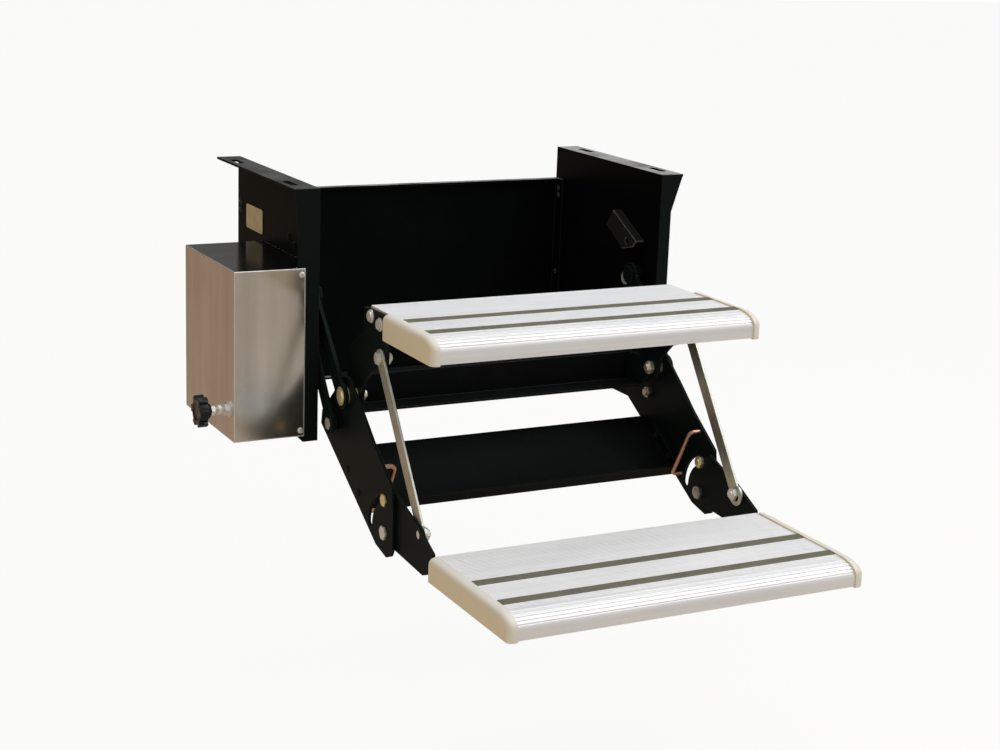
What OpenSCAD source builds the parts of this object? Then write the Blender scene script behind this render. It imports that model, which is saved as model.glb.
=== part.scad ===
// Double folding entrance step for a caravan, shown let down.
// +X points out of the door, +Y to the right as seen from outside, +Z up.
// The origin is the middle of the four floor slots, on top of the flanges.

/* [Housing] */
// Clear gap between the two side plates
bay_w = 486; // [440:1:600]
// Depth of the housing from the front bend to the back
housing_d = 290; // [270:1:340]
// Height of the side plates
housing_h = 318; // [312:1:340]
// Thickness of the sheet steel
sheet = 3; // [2:0.5:4]
// Width of the top flange, from the inner face of the plate
flange_w = 33; // [30:1:45]
// Width of the front lip, from the inner face of the plate
lip_w = 17; // [14:1:22]
// Width of the front lip on the drive side
drive_lip_w = 28; // [24:1:32]
// Height over which the front lip widens into the top flange
lip_flare = 50; // [30:1:70]
// Top edge of the back panel below the flange
panel_drop = 45; // [30:1:60]
// Depth of the folded edges of the back panel
panel_lip = 12; // [8:0.5:12]
// Depth of the side tabs of the back panel
panel_tab = 20; // [16:1:22]

/* [Floor slots] */
// Distance between the slots along the depth
slot_pitch = 195; // [180:1:220]
// Overall length of a slot
slot_len = 36; // [20:1:40]
// Width of a slot
slot_w = 9; // [7:0.5:11]
// Distance of a slot from the inner face of the plate
slot_in = 21; // [18:0.5:26]

/* [Linkage in the side view] */
// Height of the swing arm pivot below the flange
swing_drop = 142.6; // [135:0.1:150]
// Distance of the swing arm pivot behind the front bend
swing_back = 47.8; // [40:0.1:55]
// Height of the guide link pivot below the flange
guide_drop = 151.9; // [145:0.1:160]
// Distance of the guide link pivot behind the front bend
guide_back = 69.9; // [60:0.1:80]
// Height of the front pivot below the flange
front_drop = 248; // [244:0.5:252]
// Distance of the front pivot before the front bend
front_out = 52; // [48:0.5:56]
// Guide bolt, behind the front pivot
guide_bolt_back = 22; // [18:0.5:26]
// Guide bolt, below the front pivot
guide_bolt_down = 40; // [36:0.5:44]
// Lower pivot, before the front pivot
lower_out = 120; // [116:0.5:124]
// Lower pivot, below the front pivot
lower_down = 138; // [134:0.5:142]
// Radius of the stop pin about the lower pivot
stop_r = 40.5; // [39:0.5:43]
// Upper end of the tie link, before the front pivot
tie_out = 76; // [72:0.5:80]
// Upper end of the tie link, above the front pivot
tie_up = 64; // [60:0.5:68]
// Offset of the lower end of the tie link
tie_offset = 41; // [38:0.5:44]
// Turn of the main arms when the step folds
fold_turn = 60; // [58:0.5:60]

/* [Link thicknesses and gaps, from the plate inwards] */
// Gap between plate and guide link
guide_gap = 2.5; // [2.3:0.1:4]
// Thickness of the guide link
guide_t = 4; // [3:0.5:5]
// Gap between guide link and swing arm
swing_gap = 2; // [2:0.1:3]
// Thickness of the swing arm
swing_t = 5; // [4:0.5:6]
// Gap between swing arm and main arm
arm_gap = 3; // [2.8:0.1:4]
// Thickness of the main arm
arm_t = 4; // [3.5:0.5:5]
// Gap between main arm and lower arm
lower_gap = 1; // [0.8:0.1:2]
// Thickness of the lower arm
lower_t = 4; // [3.5:0.5:5]
// Gap between lower arm and tie link
tie_gap = 0.4; // [0.4:0.1:1]
// Thickness of the tie link
tie_t = 3; // [2.5:0.5:4]
// Gap between tie link and upper bracket
upper_gap = 0.4; // [0.4:0.1:1]
// Thickness of the upper bracket
upper_t = 4; // [3.5:0.5:5]

/* [Pins and hubs] */
// Radius of the drive shaft and of the idler pin
shaft_r = 8; // [6:0.5:8.5]
// Radius of the pivot bolts
bolt_r = 5; // [4:0.5:5.5]
// Radius of the guide link pin
guide_pin_r = 6; // [5:0.5:7]
// Running clearance of the pivots, on the radius
run = 0.05; // [0.02:0.01:0.1]
// Free play of a stop pin in its slot
play = 0.5; // [0.4:0.1:0.8]
// Free play of the guide link at the guide bolt
guide_play = 3.2; // [3.1:0.1:3.6]
// Free travel of the tie link on its lower bolt
tie_travel = 4.6; // [4.55:0.05:6]
// Small gap between faces that slide past each other
slip = 0.3; // [0.2:0.05:0.4]
// Radius of the main arm about the front pivot
arm_hub_r = 24; // [20:1:26]
// Radius of the main arm about the lower pivot
arm_tip_r = 30.5; // [27:0.5:31]
// Radius of the swing arm ends
swing_hub_r = 16; // [14:0.5:16]
// Half width of the swing arm between its ends
swing_half = 12; // [10:0.5:12.5]
// Half width of the guide link
guide_half = 11; // [9:0.5:11.5]
// Half width of the tie link
tie_half = 9; // [8:0.5:10]
// End of the stop slot, measured round from the front
slot_end = 178; // [155:1:180]

/* [Upper tread] */
// Rear edge of the tread, before the front pivot
up_back = 32; // [28:1:36]
// Depth of the tread
up_depth = 194; // [180:1:200]
// Top of the tread above the front pivot
up_rise = 119; // [115:1:121]
// Thickness of the tread
up_thick = 28.5; // [27.5:0.5:30]
// Place of the first grip strip from the rear edge
up_strip_a = 95; // [70:1:105]
// Place of the second grip strip from the rear edge
up_strip_b = 154; // [140:1:155]
// Start of the side cap from the rear edge
up_cap_start = 60; // [56:1:66]
// Thickness of the side cap
up_cap_t = 11; // [9:0.5:11.5]

/* [Lower tread] */
// Rear edge of the tread, before the lower pivot
low_back = 127; // [122:1:132]
// Depth of the tread
low_depth = 201; // [190:1:210]
// Top of the tread above the lower pivot
low_rise = 12; // [10:0.5:14]
// Thickness of the tread
low_thick = 26; // [25:0.5:28]
// Place of the first grip strip from the rear edge
low_strip_a = 94; // [75:1:105]
// Place of the second grip strip from the rear edge
low_strip_b = 155; // [140:1:157]
// Start of the side cap from the rear edge
low_cap_start = 6; // [4:1:16]
// Thickness of the side cap
low_cap_t = 12; // [11.5:0.5:14]

/* [Tread section] */
// Wall of the tread section
tread_wall = 2.5; // [2:0.1:3]
// Length of the rounded nosing
nose_len = 29; // [24:1:30]
// Fall of the nosing
nose_fall = 15; // [12:0.5:16]
// Number of grooves in the nosing
nose_grooves = 5; // [3:1:7]
// Radius of the nosing grooves
groove_r = 1; // [0.6:0.1:1.4]
// Pitch of the fine ribs
rib_pitch = 4; // [3:0.5:6]
// Height of the fine ribs
rib_h = 0.6; // [0.4:0.1:0.8]
// Width of a grip strip
strip_w = 13; // [10:0.5:14]
// Depth of the groove of a grip strip
strip_sink = 1.2; // [1:0.1:1.6]
// Height of a grip strip above the ribs
strip_proud = 1; // [0.6:0.1:1.6]
// How far a grip strip runs into the side caps
strip_over = 4; // [2:0.5:5]
// How far a side cap stands past the section
cap_grow = 1.6; // [0.8:0.1:2]
// Chamfer round the outer edge of a side cap
cap_chamfer = 5; // [3:0.5:6]

/* [Drive cover] */
// Width of the cover, out from the side plate
cover_w = 107; // [95:1:120]
// Depth of the cover
cover_d = 188; // [180:1:200]
// Top of the cover below the flange
cover_drop = 97; // [90:1:100]
// Height of the cover
cover_h = 213; // [205:1:218]
// Thickness of the cover sheet
cover_t = 1.5; // [1:0.25:2]
// Inner edge of the cover front, from the inner face of the plate
cover_edge = 18.5; // [17:0.5:20]
// Distance of the cover screws from that edge
cover_screw_in = 5; // [4:0.5:6]

/* [Drive under the cover] */
// Width of the gear case, out from the side plate
gear_w = 50; // [44:1:60]
// Half length of the gear case
gear_half = 38; // [34:1:42]
// Half height of the gear case
gear_high = 36; // [32:1:40]
// Half pitch of the gear case screws
gear_hole = 30; // [26:1:32]
// Radius of the gear case boss
gear_boss_r = 30; // [26:1:34]
// Half width of the worm tower
tower_half = 18; // [15:1:20]
// Radius of the motor
motor_r = 29; // [25:1:32]
// Length of the motor
motor_len = 88; // [70:1:92]
// Top of the motor below the drive shaft
motor_down = 57.4; // [54:0.1:62]

/* [Guides and buffers on the housing] */
// Distance of a tread guide behind the front bend
bracket_back = 101.5; // [95:0.5:108]
// Top of a tread guide below the flange
bracket_drop = 62.5; // [58:0.5:66]
// Length of a tread guide
guide_len = 72; // [64:1:78]
// How far a tread guide stands in from the plate
guide_in = 13; // [10:0.5:13]
// Height of the rubber buffers below the flange
buffer_drop = 225; // [215:1:240]
// Length of the rubber buffers
buffer_len = 4.4; // [3:0.1:4.4]

/* [Release knob] */
// Distance of the release stud behind the front bend
stud_back = 15; // [14:0.5:30]
// Height of the release stud above the bottom of the cover
stud_up = 40; // [26:1:50]
// Radius of the release stud
stud_r = 4; // [3:0.5:5]
// Gap between cover and knob
knob_out = 31; // [28:1:40]
// Radius of the knob over its lobes
knob_r = 20; // [16:1:24]
// Thickness of the knob
knob_t = 12; // [11:1:16]

/* [Hidden] */
$fn = 48;

// Side view points, each as distance forward and height
front = housing_d / 2;
H1 = [front - swing_back, -swing_drop];
H2 = [front - guide_back, -guide_drop];
A1 = [front + front_out, -front_drop];
M1 = A1 + [-guide_bolt_back, -guide_bolt_down];
LB = A1 + [lower_out, -lower_down];
UB = LB + [0, stop_r];
T = A1 + [tie_out, tie_up];
// The lower tie point lies half the fold turn off the main arm line
arm_dir = (LB - A1) / norm(LB - A1);
tie_dir = turn(arm_dir, -fold_turn / 2);
B = LB + (T - A1) + tie_offset * tie_dir;
// The guide link ends a little off the guide bolt, inside its free play
M1e = M1 + [1.3, 2.5];

// Positions across the width, from the plates inwards
hw = bay_w / 2;
guide_y1 = hw - guide_gap;
guide_y0 = guide_y1 - guide_t;
swing_y1 = guide_y0 - swing_gap;
swing_y0 = swing_y1 - swing_t;
arm_y1 = swing_y0 - arm_gap;
arm_y0 = arm_y1 - arm_t;
low_y1 = arm_y0 - lower_gap;
low_y0 = low_y1 - lower_t;
tie_y1 = low_y0 - tie_gap;
tie_y0 = tie_y1 - tie_t;
up_y1 = tie_y0 - upper_gap;
up_y0 = up_y1 - upper_t;

// Treads
up_x0 = A1[0] + up_back;
up_z = A1[1] + up_rise;
low_x0 = LB[0] + low_back;
low_z = LB[1] + low_rise;
port_r = bolt_r - 1;
port_len = 18;
up_ports = [[up_x0 + 10, up_z - 11.5], [up_x0 + 37, up_z - 16]];
low_ports = [[low_x0 + 36, low_z - low_thick / 2], [low_x0 + 84, low_z - low_thick / 2]];

// Small hardware
head_t = 4;
nut_t = 5.5;
hex_r = bolt_r + 3;
port_hex_r = port_r + 2.8;

// Colours
black = [0.05, 0.05, 0.055];
steel = [0.78, 0.78, 0.76];
zinc = [0.72, 0.72, 0.7];
yellow_zinc = [0.78, 0.66, 0.35];
alu = [0.86, 0.87, 0.87];
cream = [0.88, 0.86, 0.78];
grip = [0.27, 0.27, 0.23];
copper = [0.6, 0.38, 0.25];
rubber = [0.08, 0.08, 0.08];

// A point turned about the origin in the side view
function turn(p, a) = [p[0] * cos(a) - p[1] * sin(a), p[0] * sin(a) + p[1] * cos(a)];

// The same thing on the left side
module left() {
    mirror([0, 1, 0]) children();
}

// The same thing on both sides
module both() {
    children();
    mirror([0, 1, 0]) children();
}

// Round bar across the width
module ycyl(p, y0, y1, r) {
    translate([p[0], y0, p[1]]) rotate([-90, 0, 0]) cylinder(h = y1 - y0, r = r);
}

// Hexagon across the width
module yhex(p, y0, y1, r) {
    translate([p[0], y0, p[1]]) rotate([-90, 0, 0]) cylinder(h = y1 - y0, r = r, $fn = 6);
}

// Washer or bush across the width
module yring(p, y0, y1, r, bore) {
    difference() {
        ycyl(p, y0, y1, r);
        ycyl(p, y0 - 1, y1 + 1, bore);
    }
}

// Flat plate with a side view outline
module yplate(pts, y0, y1) {
    translate([0, y1, 0]) rotate([90, 0, 0]) linear_extrude(y1 - y0) polygon(pts);
}

// Block between two corners
module block(a, b) {
    translate(a) cube(b - a);
}

// Straight bar between two side view points
module ybar(a, b, half, y0, y1) {
    d = b - a;
    translate([a[0], y0, a[1]])
        rotate([0, -atan2(d[1], d[0]), 0])
            translate([0, 0, -half]) cube([norm(d), y1 - y0, 2 * half]);
}

// Arc slot about a centre, from angle a0 to a1
module arc_slot(c, r, half, a0, a1, y0, y1) {
    far = 2 * (r + half);
    intersection() {
        difference() {
            ycyl(c, y0, y1, r + half);
            ycyl(c, y0 - 1, y1 + 1, r - half);
        }
        yplate([c, c + far * [cos(a0), sin(a0)], c + far * [cos((a0 + a1) / 2), sin((a0 + a1) / 2)],
            c + far * [cos(a1), sin(a1)]], y0, y1);
    }
    for (a = [a0, a1]) ycyl(c + r * [cos(a), sin(a)], y0, y1, half);
}

// Housing

// Plate with its top flange and front lip, right side
module side_plate(lip) {
    difference() {
        union() {
            block([-front, hw, -housing_h], [front, hw + sheet, 0]);
            block([-front, hw, -sheet], [front, hw + flange_w, 0]);
            translate([front - sheet, 0, 0]) rotate([90, 0, 90]) linear_extrude(sheet)
                polygon([[hw, 0], [hw + flange_w, 0], [hw + lip, -lip_flare],
                    [hw + lip, lip_w / 2 - housing_h], [hw + lip - lip_w / 2, -housing_h], [hw, -housing_h]]);
        }
        for (s = [-1, 1]) translate([s * slot_pitch / 2, hw + slot_in, 0]) floor_slot();
        ycyl(H1, hw - 1, hw + sheet + 1, bush_r);
        ycyl(H2, hw - 1, hw + sheet + 1, guide_pin_r);
        for (z = rivet_z) ycyl([rivet_x, z], hw - 1, hw + sheet + 1, rivet_r);
        for (p = guide_holes) ycyl(p, hw - 1, hw + sheet + 1, rivet_r);
    }
}

// Floor slot with round ends
module floor_slot() {
    run_len = slot_len - slot_w;
    translate([-run_len / 2, -slot_w / 2, -sheet - 1]) cube([run_len, slot_w, sheet + 2]);
    for (s = [-1, 1]) translate([s * run_len / 2, 0, -sheet - 1]) cylinder(h = sheet + 2, r = slot_w / 2);
}

bush_r = shaft_r + 3;
rivet_r = 2.4;
rivet_x = -front + panel_tab / 2 + sheet / 2;
rivet_z = [-panel_drop - 14, -panel_drop - 24, -(panel_drop + housing_h) / 2, -housing_h + 20];
cover_top = -cover_drop;
cover_bottom = -cover_drop - cover_h;
cover_y = hw + sheet + cover_w;
gear_y = hw + sheet + gear_w;
gear_holes = [for (sx = [-1, 1], sz = [-1, 1]) H1 + gear_hole * [sx, sz]];

module left_side_plate() {
    color(black) difference() {
        left() side_plate(drive_lip_w);
        for (p = gear_holes) left() ycyl(p, hw - 1, hw + sheet + 1, rivet_r);
        for (z = cover_screw_z) translate([front - sheet - 1, -cover_screw_y, z])
            rotate([0, 90, 0]) cylinder(h = sheet + 2, r = rivet_r);
        for (s = [-1, 1]) translate([-front + 14, -hw - flange_w / 2 + s * 5, -sheet - 1])
            cylinder(h = sheet + 2, r = 1.6);
    }
}

module right_side_plate() {
    color(black) side_plate(lip_w);
}

module back_panel() {
    back = -front + sheet;
    color(black) difference() {
        union() {
            block([-front, -hw, -housing_h], [back, hw, -panel_drop]);
            block([-front, -hw, -housing_h], [-front + panel_lip, hw, -housing_h + sheet]);
            block([-front, -hw, -panel_drop - sheet], [-front + panel_lip, hw, -panel_drop]);
            both() block([-front, hw - 2, -housing_h], [back + panel_tab, hw, -panel_drop]);
        }
        both() for (z = rivet_z) ycyl([rivet_x, z], hw - 3, hw + 1, rivet_r);
        both() translate([-front - 1, (arm_y0 + arm_y1) / 2, -buffer_drop]) rotate([0, 90, 0])
            cylinder(h = sheet + 2, r = buffer_stem);
    }
}

module panel_rivets() {
    color(black) both() for (z = rivet_z) {
        ycyl([rivet_x, z], hw - 3.2, hw + sheet, rivet_r);
        ycyl([rivet_x, z], hw + sheet, hw + sheet + 1.4, 2 * rivet_r);
        ycyl([rivet_x, z], hw - 3.2, hw - 2, 1.6 * rivet_r);
    }
}

// Folded guide bracket on the inner face of a plate
guide_slope = 27;
guide_at = [front - bracket_back, -bracket_drop];
guide_holes = [for (u = [10, 30]) guide_at + turn([u, -10], -guide_slope)];

module tread_guide() {
    difference() {
        union() {
            yplate([for (p = [[0, 0], [guide_len / 2, 0], [guide_len / 2, -17], [0, -17]])
                guide_at + turn(p, -guide_slope)], hw - sheet, hw);
            yplate([for (p = [[0, 0], [guide_len, 0], [guide_len, -sheet], [0, -sheet]])
                guide_at + turn(p, -guide_slope)], hw - guide_in, hw);
            yplate([for (p = [[0, 0], [guide_len, 0], [guide_len - 4, -13], [guide_len - 24, -30], [-2, -27]])
                guide_at + turn(p, -guide_slope)], hw - guide_in, hw - guide_in + sheet);
        }
        for (p = guide_holes) ycyl(p, hw - sheet - 1, hw + 1, rivet_r);
        ycyl(guide_at + turn([guide_len - 20, -14], -guide_slope), hw - guide_in - 1, hw - guide_in + sheet + 1, 4.5);
    }
}

module tread_guide_left() {
    color(black) left() tread_guide();
}

module tread_guide_right() {
    color(black) tread_guide();
}

module guide_screws() {
    color(black) both() for (p = guide_holes) {
        ycyl(p, hw - sheet, hw + sheet, rivet_r);
        ycyl(p, hw - sheet - 1.6, hw - sheet, 2 * rivet_r);
        ycyl(p, hw + sheet, hw + sheet + 1.6, 2 * rivet_r);
    }
}

// Drive side

cover_screw_y = hw + cover_edge + cover_screw_in;
cover_screw_z = [cover_top - 8, cover_bottom + 8];
cover_back = front - cover_d;
stud_p = [front - stud_back, cover_bottom + stud_up];

module motor_cover() {
    y1 = hw + sheet;
    color(steel) difference() {
        union() {
            difference() {
                block([cover_back, -cover_y, cover_bottom], [front + cover_t, -y1, cover_top]);
                block([cover_back + cover_t, -cover_y + cover_t, cover_bottom + cover_t],
                    [front, -y1 + 1, cover_top - cover_t]);
            }
        }
        block([front - sheet - slip, -hw - drive_lip_w - slip, cover_bottom - 1], [front, -y1 + 1, cover_top + 1]);
        block([front - sheet - slip, -hw - cover_edge, cover_bottom - 1], [front + cover_t + 1, -y1 + 1, cover_top + 1]);
        for (z = cover_screw_z) translate([front - 1, -cover_screw_y, z])
            rotate([0, 90, 0]) cylinder(h = cover_t + 2, r = rivet_r);
        left() ycyl(stud_p, cover_y - cover_t - 1, cover_y + 1, stud_r + run);
        translate([cover_back - 1, -hw - sheet - 30, cover_bottom + 22]) rotate([0, 90, 0])
            cylinder(h = cover_t + 2, r = grommet_neck);
    }
}

module cover_screws() {
    color(zinc) for (z = cover_screw_z) translate([front, -cover_screw_y, z]) rotate([0, 90, 0]) {
        translate([0, 0, -sheet - 2]) cylinder(h = sheet + 2 + cover_t, r = rivet_r);
        translate([0, 0, cover_t]) cylinder(h = 2.2, r = 2 * rivet_r);
    }
}

motor_p = [H1[0] - gear_half, -(hw + sheet + motor_r + 2)];
motor_top = H1[1] - motor_down;

// Cast gear case with the worm tower that carries the motor
module gearbox_housing() {
    y1 = hw + sheet;
    color([0.55, 0.56, 0.57]) difference() {
        union() {
            block([H1[0] - gear_half, -gear_y, H1[1] - gear_high], [H1[0] + gear_half, -y1, H1[1] + gear_high]);
            left() ycyl(H1, gear_y, gear_y + 6, gear_boss_r);
            block([motor_p[0] - tower_half, -gear_y + 2, motor_top], [motor_p[0] + tower_half, -y1 - 6, H1[1] + gear_high]);
            translate([motor_p[0], motor_p[1], motor_top]) cylinder(h = 8, r = motor_r - 8);
        }
        left() ycyl(H1, y1 - 1, gear_y - 10, shaft_r + run);
        for (p = gear_holes) left() ycyl(p, y1 - 1, gear_y + 1, rivet_r);
    }
}

module gearbox_screws() {
    color(zinc) left() for (p = gear_holes) {
        ycyl(p, hw, gear_y, rivet_r);
        yhex(p, gear_y, gear_y + 3, 2 * rivet_r);
    }
}

module drive_motor() {
    color([0.16, 0.16, 0.17]) translate([motor_p[0], motor_p[1], motor_top]) {
        translate([0, 0, -motor_len]) cylinder(h = motor_len, r = motor_r);
        translate([0, 0, -motor_len - 6]) cylinder(h = 6, r = motor_r - 6);
        translate([0, 0, -motor_len - 9]) cylinder(h = 3, r = 7);
    }
}

module limit_switch() {
    x0 = motor_p[0] - 48;
    color([0.12, 0.12, 0.13]) {
        block([x0, -hw - sheet - 14, H1[1] - 6], [x0 + 28, -hw - sheet, H1[1] + 12]);
        block([x0 + 4, -hw - sheet - 10, H1[1] + 12], [x0 + 8, -hw - sheet - 4, H1[1] + 17]);
        block([x0 + 12, -hw - sheet - 10, H1[1] + 12], [x0 + 16, -hw - sheet - 4, H1[1] + 17]);
    }
}

grommet_neck = 7;

module cable_grommet() {
    color(rubber) translate([cover_back, -hw - sheet - 30, cover_bottom + 22]) rotate([0, 90, 0])
        difference() {
            union() {
                translate([0, 0, -3]) cylinder(h = 3, r = grommet_neck + 3);
                cylinder(h = cover_t, r = grommet_neck);
                translate([0, 0, cover_t]) cylinder(h = 3, r = grommet_neck + 3);
            }
            translate([0, 0, -4]) cylinder(h = cover_t + 8, r = grommet_neck - 3);
        }
}

module blank_plate() {
    color([0.8, 0.8, 0.8]) block([-110, -hw - sheet - 0.8, -90], [-48, -hw - sheet, -58]);
}

// Fixed pivots

module shaft_bushes() {
    color([0.7, 0.6, 0.35]) both() yring(H1, swing_y1 + slip, hw + sheet, bush_r, shaft_r + run);
}

module idler_pin() {
    color(black) {
        ycyl(H1, swing_y0 - 4, hw + sheet + run, shaft_r);
        yhex(H1, hw + sheet, hw + sheet + 7, bush_r + 3);
        ycyl(H1, swing_y0 - 4, swing_y0 - slip, shaft_r + 4);
    }
}

module guide_link_pins() {
    color(zinc) both() {
        ycyl(H2, guide_y0 - slip, hw + sheet, guide_pin_r);
        ycyl(H2, guide_y1 + slip, hw, guide_pin_r + 3);
        ycyl(H2, swing_y1 + slip + 0.2, guide_y0 - slip, guide_pin_r + 3);
    }
}

buffer_stem = 4;

module rubber_buffers() {
    back = -front + sheet;
    color(rubber) both() translate([0, (arm_y0 + arm_y1) / 2, -buffer_drop]) rotate([0, 90, 0]) {
        translate([0, 0, back]) cylinder(h = buffer_len, r = 9);
        translate([0, 0, -front]) cylinder(h = sheet, r = buffer_stem);
    }
}

// Driving arms

// Drawn along its own length, then turned to the line from H1 to A1
module swing_arm(bore) {
    d = A1 - H1;
    len = norm(d);
    translate([H1[0], 0, H1[1]]) rotate([0, -atan2(d[1], d[0]), 0]) difference() {
        union() {
            block([0, swing_y0, -swing_half], [len, swing_y1, swing_half]);
            ycyl([0, 0], swing_y0, swing_y1, swing_hub_r);
            ycyl([len, 0], swing_y0, swing_y1, swing_hub_r);
        }
        ycyl([0, 0], swing_y0 - 1, swing_y1 + 1, bore);
        ycyl([len, 0], swing_y0 - 1, swing_y1 + 1, bolt_r + run);
    }
}

module output_shaft() {
    color(zinc) left() ycyl(H1, swing_y0 - 6, gear_y - 11, shaft_r);
}

module shaft_nut() {
    color(black) left() difference() {
        yhex(H1, swing_y0 - 6, swing_y0, bush_r + 2);
        ycyl(H1, swing_y0 - 7, swing_y0 + 1, shaft_r);
    }
}

module crank_arm_left() {
    color(black) left() swing_arm(shaft_r);
}

module idler_arm_right() {
    color(black) swing_arm(shaft_r + run);
}

// Drawn along its own length, then turned to the line from H2 to its end
module guide_link() {
    d = M1e - H2;
    len = norm(d);
    translate([H2[0], 0, H2[1]]) rotate([0, -atan2(d[1], d[0]), 0]) difference() {
        union() {
            block([0, guide_y0, -guide_half], [len, guide_y1, guide_half]);
            ycyl([0, 0], guide_y0, guide_y1, guide_half + 0.8);
            ycyl([len, 0], guide_y0, guide_y1, bolt_r + guide_play + 5);
        }
        ycyl([0, 0], guide_y0 - 1, guide_y1 + 1, guide_pin_r + run);
        ycyl([len, 0], guide_y0 - 1, guide_y1 + 1, bolt_r + guide_play);
    }
}

module guide_link_left() {
    color(black) left() guide_link();
}

module guide_link_right() {
    color(black) guide_link();
}

// Main frame

rear_dir = [cos(fold_turn / 2), -sin(fold_turn / 2)];
rear_normal = [sin(fold_turn / 2), cos(fold_turn / 2)];
rear_foot = LB - arm_tip_r * rear_normal;
rear_top = rear_foot - (norm(LB - A1) + 33) * rear_dir;

module main_arm() {
    difference() {
        union() {
            yplate([rear_top, rear_foot - 9 * rear_dir, LB + [8, 2 - arm_tip_r], LB + [21, -23], LB + [26, -14],
                LB + [25, 36], LB + [21, 61],
                A1 + [87, -40], A1 + [53, -12], A1 + [arm_hub_r - 4, 13], A1 + [0, arm_hub_r],
                A1 + [-16, 18], A1 + [-47, -10], rear_top + [3, 18]], arm_y0, arm_y1);
            ycyl(A1, arm_y0, arm_y1, arm_hub_r);
        }
        ycyl(A1, arm_y0 - 1, arm_y1 + 1, bolt_r);
        ycyl(M1, arm_y0 - 1, arm_y1 + 1, bolt_r);
        ycyl(LB, arm_y0 - 1, arm_y1 + 1, bolt_r + 1);
        arc_slot(LB, stop_r, bolt_r + play, 90, slot_end, arm_y0 - 1, arm_y1 + 1);
        for (p = cross_holes) ycyl(p, arm_y0 - 1, arm_y1 + 1, rivet_r);
        for (p = rod_ends) ycyl(p, arm_y0 - 1, arm_y1 + 1, rod_r);
    }
}

module main_arm_left() {
    color(black) left() main_arm();
}

module main_arm_right() {
    color(black) main_arm();
}

// The web lies along the rear edge of the arms
web_len = 107;
web_lip = 15;
web_tab = 18;
web_tab_at = 30;
web_at = rear_top + 50 * rear_dir + 2 * rear_normal;
function on_web(u, v) = web_at + u * rear_dir + v * rear_normal;
cross_holes = [on_web(44, 11), on_web(84, 11)];

module lower_cross_member() {
    color(black) difference() {
        union() {
            yplate([on_web(0, 0), on_web(web_len, 0), on_web(web_len, sheet), on_web(0, sheet)], -arm_y0, arm_y0);
            yplate([on_web(web_len - sheet, 0), on_web(web_len, 0), on_web(web_len, web_lip),
                on_web(web_len - sheet, web_lip)], -arm_y0, arm_y0);
            both() yplate([on_web(web_tab_at, 0), on_web(web_len, 0), on_web(web_len, web_tab), on_web(web_tab_at, web_tab)],
                arm_y0 - sheet, arm_y0);
        }
        both() for (p = cross_holes) ycyl(p, arm_y0 - sheet - 1, arm_y0 + 1, rivet_r);
    }
}

module cross_member_screws() {
    color(black) both() for (p = cross_holes) {
        ycyl(p, arm_y0 - sheet, arm_y1, rivet_r);
        ycyl(p, arm_y0 - sheet - 2, arm_y0 - sheet, 2 * rivet_r);
        ycyl(p, arm_y1, arm_y1 + 1.6, 2 * rivet_r);
    }
}

rod_r = 2.75;
rod_y = up_y0 - rod_r - slip;
// The lower end of a stay rod lies just past the end of the web
rod_gap = 10;
rod_rise = 13;
rod_ends = [LB + [-14, 77], on_web(web_len + rod_gap, rod_rise)];

module stay_rods() {
    d = rod_ends[1] - rod_ends[0];
    color(copper) both() {
        for (p = rod_ends) {
            ycyl(p, rod_y, arm_y1, rod_r);
            translate([p[0], rod_y, p[1]]) sphere(r = rod_r + 0.2);
        }
        translate([rod_ends[0][0], rod_y, rod_ends[0][1]]) rotate([0, 90 - atan2(d[1], d[0]), 0])
            cylinder(h = norm(d), r = rod_r);
    }
}

// Bolt of the front pivot, with a flat head outside the swing arm
module pivot_bolts() {
    color(zinc) both() {
        ycyl(A1, up_y0 - nut_t - slip, swing_y1 + slip, bolt_r);
        yhex(A1, swing_y1 + slip, guide_y0 - slip, hex_r);
    }
}

module pivot_washers() {
    color(yellow_zinc) both() {
        yring(A1, arm_y1, swing_y0 - slip, bolt_r + 7, bolt_r);
        yring(A1, up_y1 + slip, arm_y0, bolt_r + 4, bolt_r);
    }
}

module pivot_nuts() {
    color(cream) both() difference() {
        yhex(A1, up_y0 - nut_t - slip, up_y0 - slip, hex_r + 1);
        ycyl(A1, up_y0 - nut_t - 1, up_y0, bolt_r);
    }
}

module guide_bolts() {
    color(zinc) both() {
        ycyl(M1, arm_y0 - nut_t, hw - slip, bolt_r);
        yhex(M1, arm_y0 - nut_t, arm_y0, hex_r);
        yhex(M1, guide_y1 + slip + guide_washer_t, hw - slip, hex_r);
    }
}

guide_washer_t = 1;

module guide_washers() {
    wide = bolt_r + 2 * guide_play + 1.8;
    color(black) both() {
        yring(M1, arm_y1, swing_y1 + slip, bolt_r + 3, bolt_r);
        yring(M1, swing_y1 + slip, guide_y0 - slip, wide, bolt_r);
        yring(M1, guide_y1 + slip, guide_y1 + slip + guide_washer_t, wide, bolt_r);
    }
}

module lower_pivot_bolts() {
    color(zinc) both() {
        ycyl(LB, low_y0 - nut_t, arm_y1, bolt_r + 1);
        yhex(LB, arm_y1, swing_y0 - 2 * slip, hex_r + 1);
        yhex(LB, low_y0 - nut_t, low_y0 - slip, hex_r + 1);
        yring(LB, low_y1 + slip, arm_y0, bolt_r + 5, bolt_r + 0.5);
    }
}

// Treads

// Outline of a tread section, from the rear, with a rounded nosing
function tread_outline(x0, depth, z, thick, grow) = concat(
    [[x0, z - thick - grow], [x0, z + grow]],
    [for (i = [0 : 8]) [x0 + depth - nose_len + (nose_len + grow) * sin(i * 90 / 8),
        z + grow - nose_fall * (1 - cos(i * 90 / 8))]],
    [[x0 + depth + grow, z - thick - grow]]);

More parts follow.
